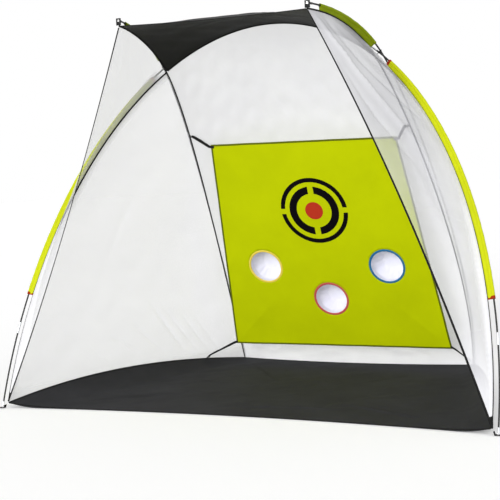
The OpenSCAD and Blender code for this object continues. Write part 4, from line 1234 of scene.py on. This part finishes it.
def makeUpperStraps():
    start = ringMiddle - strap["toggleIn"] * across
    stop = cornerAt(strap["hold"])
    lead, underLead = strap["lead"]
    out, back = strap["lap"]
    main = smoothPath([start, start - lead * across, stop + out * hemOut, stop - back * hemOut], 40)
    main = main + ramp(np.arange(40)[:, None], 26, 8) * (strap["thick"] * outSlant)  # over the hem
    under = smoothPath([start, start - underLead * across, mix(start, stop, strap["doubled"])], 16)
    under = under - strap["fold"] * outSlant
    parts = [sweepPart(main, hemRun, band), sweepPart(under, hemRun, band)]
    for side in ("Right", "Left"):
        makeStrap("upperStrap", "upper_strap", parts, target, side)


hookEdge = edgeAt(strap["hookTime"])
edgeRun = unit(edgeAt(strap["hookTime"] + 0.01) - edgeAt(strap["hookTime"] - 0.01))
lowCorner = cornerAt(sheetShape["height"] - strap["hold"])
toCorner = lowCorner - hookEdge
hookRun = unit(toCorner - toCorner.dot(edgeRun) * edgeRun)
hookFoot = hookEdge + strap["hookOff"] * hookRun


def makeLowerStraps():
    b = hookFoot + strap["hookLength"] * hookRun
    pull = unit(b - lowCorner)
    back, out, lead = strap["lowLap"]
    a = lowCorner - back * unit(hemOut + pull)
    main = smoothPath([a, lowCorner + out * pull, b + lead * hookRun, b], 48)
    turn = np.clip(np.linspace(-0.12, 1.1, 48), 0, 1)[:, None]
    sides = mix(hemRun, edgeRun, turn * turn * (3 - 2 * turn))
    main = main + ramp(np.arange(48)[:, None], 12, -6) * strap["thick"] * outSlant  # over the hem
    under = main[-18:] + strap["fold"] * np.cross(edgeRun, hookRun)
    parts = [sweepPart(main, sides, band), sweepPart(under, sides[-18:], band)]
    for side, turned in (("Right", np.ones(3)), ("Left", flip)):
        piece = makeStrap("lowerStrap", "lower_strap", parts, net, side)
        piece.parent = None
        start, end = (tuple(spot * turned + fromFeet) for spot in (b, lowCorner))
        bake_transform(piece)
        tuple(start)
        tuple(end)


hook = {
    "width": 0.009, "thick": 0.0028, "neckThick": 0.0030, "bend": 0.0062, "neck": 0.0105,
    "bar": (0.0125, 0.0045), "barOut": 0.0150, "barRadius": 0.0017, "square": 0.35,
}


def squared(value, power):
    return np.sign(value) * np.abs(value) ** power


def makeLowerHooks():
    # a moulded hook round the floor's edge, with a bar for the strap
    normal = np.cross(hookRun, edgeRun)
    around = np.radians(np.linspace(-60, 180, 22))
    bend = [
        hookEdge + hook["bend"] * (-math.cos(a - math.pi / 2) * hookRun + math.sin(a - math.pi / 2) * normal)
        for a in around]
    parts = [sweepPart(np.array(bend), edgeRun, bandProfile(hook["width"], hook["thick"]))]
    loop = []
    for a in np.linspace(0, 2 * math.pi, 40, endpoint=False):
        wide = squared(math.cos(a), hook["square"]) * hook["bar"][0]
        tall = squared(math.sin(a), hook["square"]) * hook["bar"][1]
        loop.append(hookEdge + wide * edgeRun + (hook["barOut"] + tall) * hookRun)
    bar = ovalProfile(hook["barRadius"], hook["barRadius"], 8)
    parts.append(sweepPart(np.array(loop), normal, bar, closed=True))
    neck = np.array([mix(bend[-1], hookEdge + hook["neck"] * hookRun, f) for f in np.linspace(0, 1, 8)])
    parts.append(sweepPart(neck, edgeRun, bandProfile(hook["width"], hook["neckThick"])))
    parts += [mirroredPart(part) for part in parts]
    makePiece("lowerHook", parts, "nylon", net, ["lower_hooks"])


tie = {"gap": 0.0024, "loop": (0.0026, 0.0013), "tail": (0.008, 0.0016), "round": 0.62}


def makeCrossingTies():
    # elastic loop round both poles, with a tail to the seam
    radius = poleShape["diameter"] / 2
    middle = (hoopAt(crossAngle) + poleCross) / 2
    sideways = unit(hoopRun - crossRun)
    normal = np.cross(sideways, crossOut)
    halfTall = poleShape["cross"] / 2 + radius + tie["gap"]
    halfWide = radius * 1.5 + tie["gap"]
    turn = np.linspace(0, 2 * math.pi, 48, endpoint=False)
    wide = squared(np.cos(turn), tie["round"]) * halfWide
    tall = squared(np.sin(turn), tie["round"]) * halfTall
    loop = middle + wide[:, None] * sideways + tall[:, None] * crossOut
    parts = [sweepPart(loop, normal, ovalProfile(*tie["loop"], 10), closed=True)]
    tail = np.array([mix(middle - (halfTall + 0.001) * crossOut, crossSeam, f) for f in np.linspace(0, 1, 8)])
    parts.append(sweepPart(tail, sideways, bandProfile(*tie["tail"])))
    parts += [mirroredPart(part) for part in parts]
    makePiece("crossingTie", parts, "webbing", net, ["crossing_ties"])


tabs = {"bevel": 0.0005, "weld": 0.00001, "flat": 3, "bevelFrom": 40, "sharp": 50}


def makeTab(name, node):
    # the webbing tabs keep the frame's own shape, welded and with softened edges
    mesh = nodes[node].data.copy()
    piece = newPiece(name, mesh)
    editAll()
    bpy.ops.mesh.remove_doubles(threshold=tabs["weld"])
    bpy.ops.mesh.dissolve_limited(angle_limit=math.radians(tabs["flat"]))
    bpy.ops.object.mode_set(mode="OBJECT")
    applyModifier(piece, "BEVEL", width=tabs["bevel"], segments=2, limit_method="ANGLE",
                  angle_limit=math.radians(tabs["bevelFrom"]))
    editAll()
    bpy.ops.uv.cube_project(cube_size=1.0)
    bpy.ops.object.mode_set(mode="OBJECT")
    mesh.materials.clear()
    mesh.materials.append(finishes["webbing"])
    mesh.shade_smooth()
    mesh.set_sharp_from_angle(angle=math.radians(tabs["sharp"]))
    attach(piece, net)
    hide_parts(node)


makeUpperStraps()
makeLowerStraps()
makeLowerHooks()
makeCrossingTies()
makeTab("frontCornerTab", "front_corner_tabs")
makeTab("rearCornerTab", "rear_corner_tabs")
makeTab("frontTipTab", "front_tip_tabs")
print("straps, hooks, ties and tabs made")

# finishes of the frame's own parts

kept = {
    "tube": ("hoop_sections_left", "hoop_sections_top", "hoop_sections_right", "side_sections_left",
             "side_sections_right"),
    "ferrule": ("hoop_ferrules", "side_ferrules_left", "side_ferrules_right", "hoop_foot_tips",
                "side_foot_tips"),
    "cord": ("hoop_shock_cord", "side_shock_cord_left", "side_shock_cord_right"),
    "grommet": ("pole_tip_grommets", "stake_eyelets"),
    "nylon": ("side_front_tips", "upper_rings", "upper_hooks"),
}
for finish, names in kept.items():
    for name in names:
        nodes[name].data.materials.clear()
        nodes[name].data.materials.append(finishes[finish])
print("frame finishes set")

studio = {
    "floor": "#f0f0f0", "floorGlow": 0.231, "floorRadius": 40, "floorZ": -0.002, "world": 0.58,
    "lamps": (("keyLight", 2.55, (78, 0, -4), 30), ("fillLight", 0.7, (55, 0, 60), 50)),
}


def cameraSeen(tree):
    # 1 for what the camera, a reflection or glass sees, 0 for what lights the object
    path = addNode(tree, "LightPath").outputs
    seen = addNode(tree, "Math", {"operation": "MAXIMUM"},
                   {0: path["Is Camera Ray"], 1: path["Is Glossy Ray"]})
    return addNode(tree, "Math", {"operation": "MAXIMUM"}, {0: seen, 1: path["Is Transmission Ray"]})


def makeStudio():
    bpy.ops.object.select_all(action="DESELECT")
    bpy.ops.mesh.primitive_circle_add(
        vertices=96, radius=studio["floorRadius"], fill_type="NGON", location=(0, 0, studio["floorZ"]))
    plate = bpy.context.active_object
    plate.name = "studioFloor"
    material, tree, shader, _ = startMaterial("studioFloorPaint")
    share = addNode(tree, "Math", {"operation": "MULTIPLY", 1: studio["floorGlow"]}, {0: cameraSeen(tree)})
    setNode(tree, shader, {"Base Color": linear(studio["floor"]), "Roughness": 0.9, "Specular IOR Level": 0.1,
                           "Emission Color": (1, 1, 1, 1)}, {"Emission Strength": share})
    plate.data.materials.append(material)
    world = bpy.data.worlds.new("studioWorld")
    world.use_nodes = True
    tree = world.node_tree
    tree.nodes.clear()
    light, seen = (
        addNode(tree, "Background", {"Color": (1, 1, 1, 1), "Strength": strength})
        for strength in (studio["world"], 1.0))
    both = addNode(tree, "MixShader", links={0: cameraSeen(tree), 1: light, 2: seen})
    addNode(tree, "OutputWorld", links={"Surface": both})
    bpy.context.scene.world = world
    for name, strength, turn, softness in studio["lamps"]:
        data = bpy.data.lights.new(name, "SUN")
        data.energy = strength
        data.angle = math.radians(softness)
        lamp = bpy.data.objects.new(name, data)
        lamp.rotation_euler = [math.radians(a) for a in turn]
        bpy.context.scene.collection.objects.link(lamp)


makeStudio()
bpy.context.scene.view_settings.view_transform = "Standard"
print("studio made")
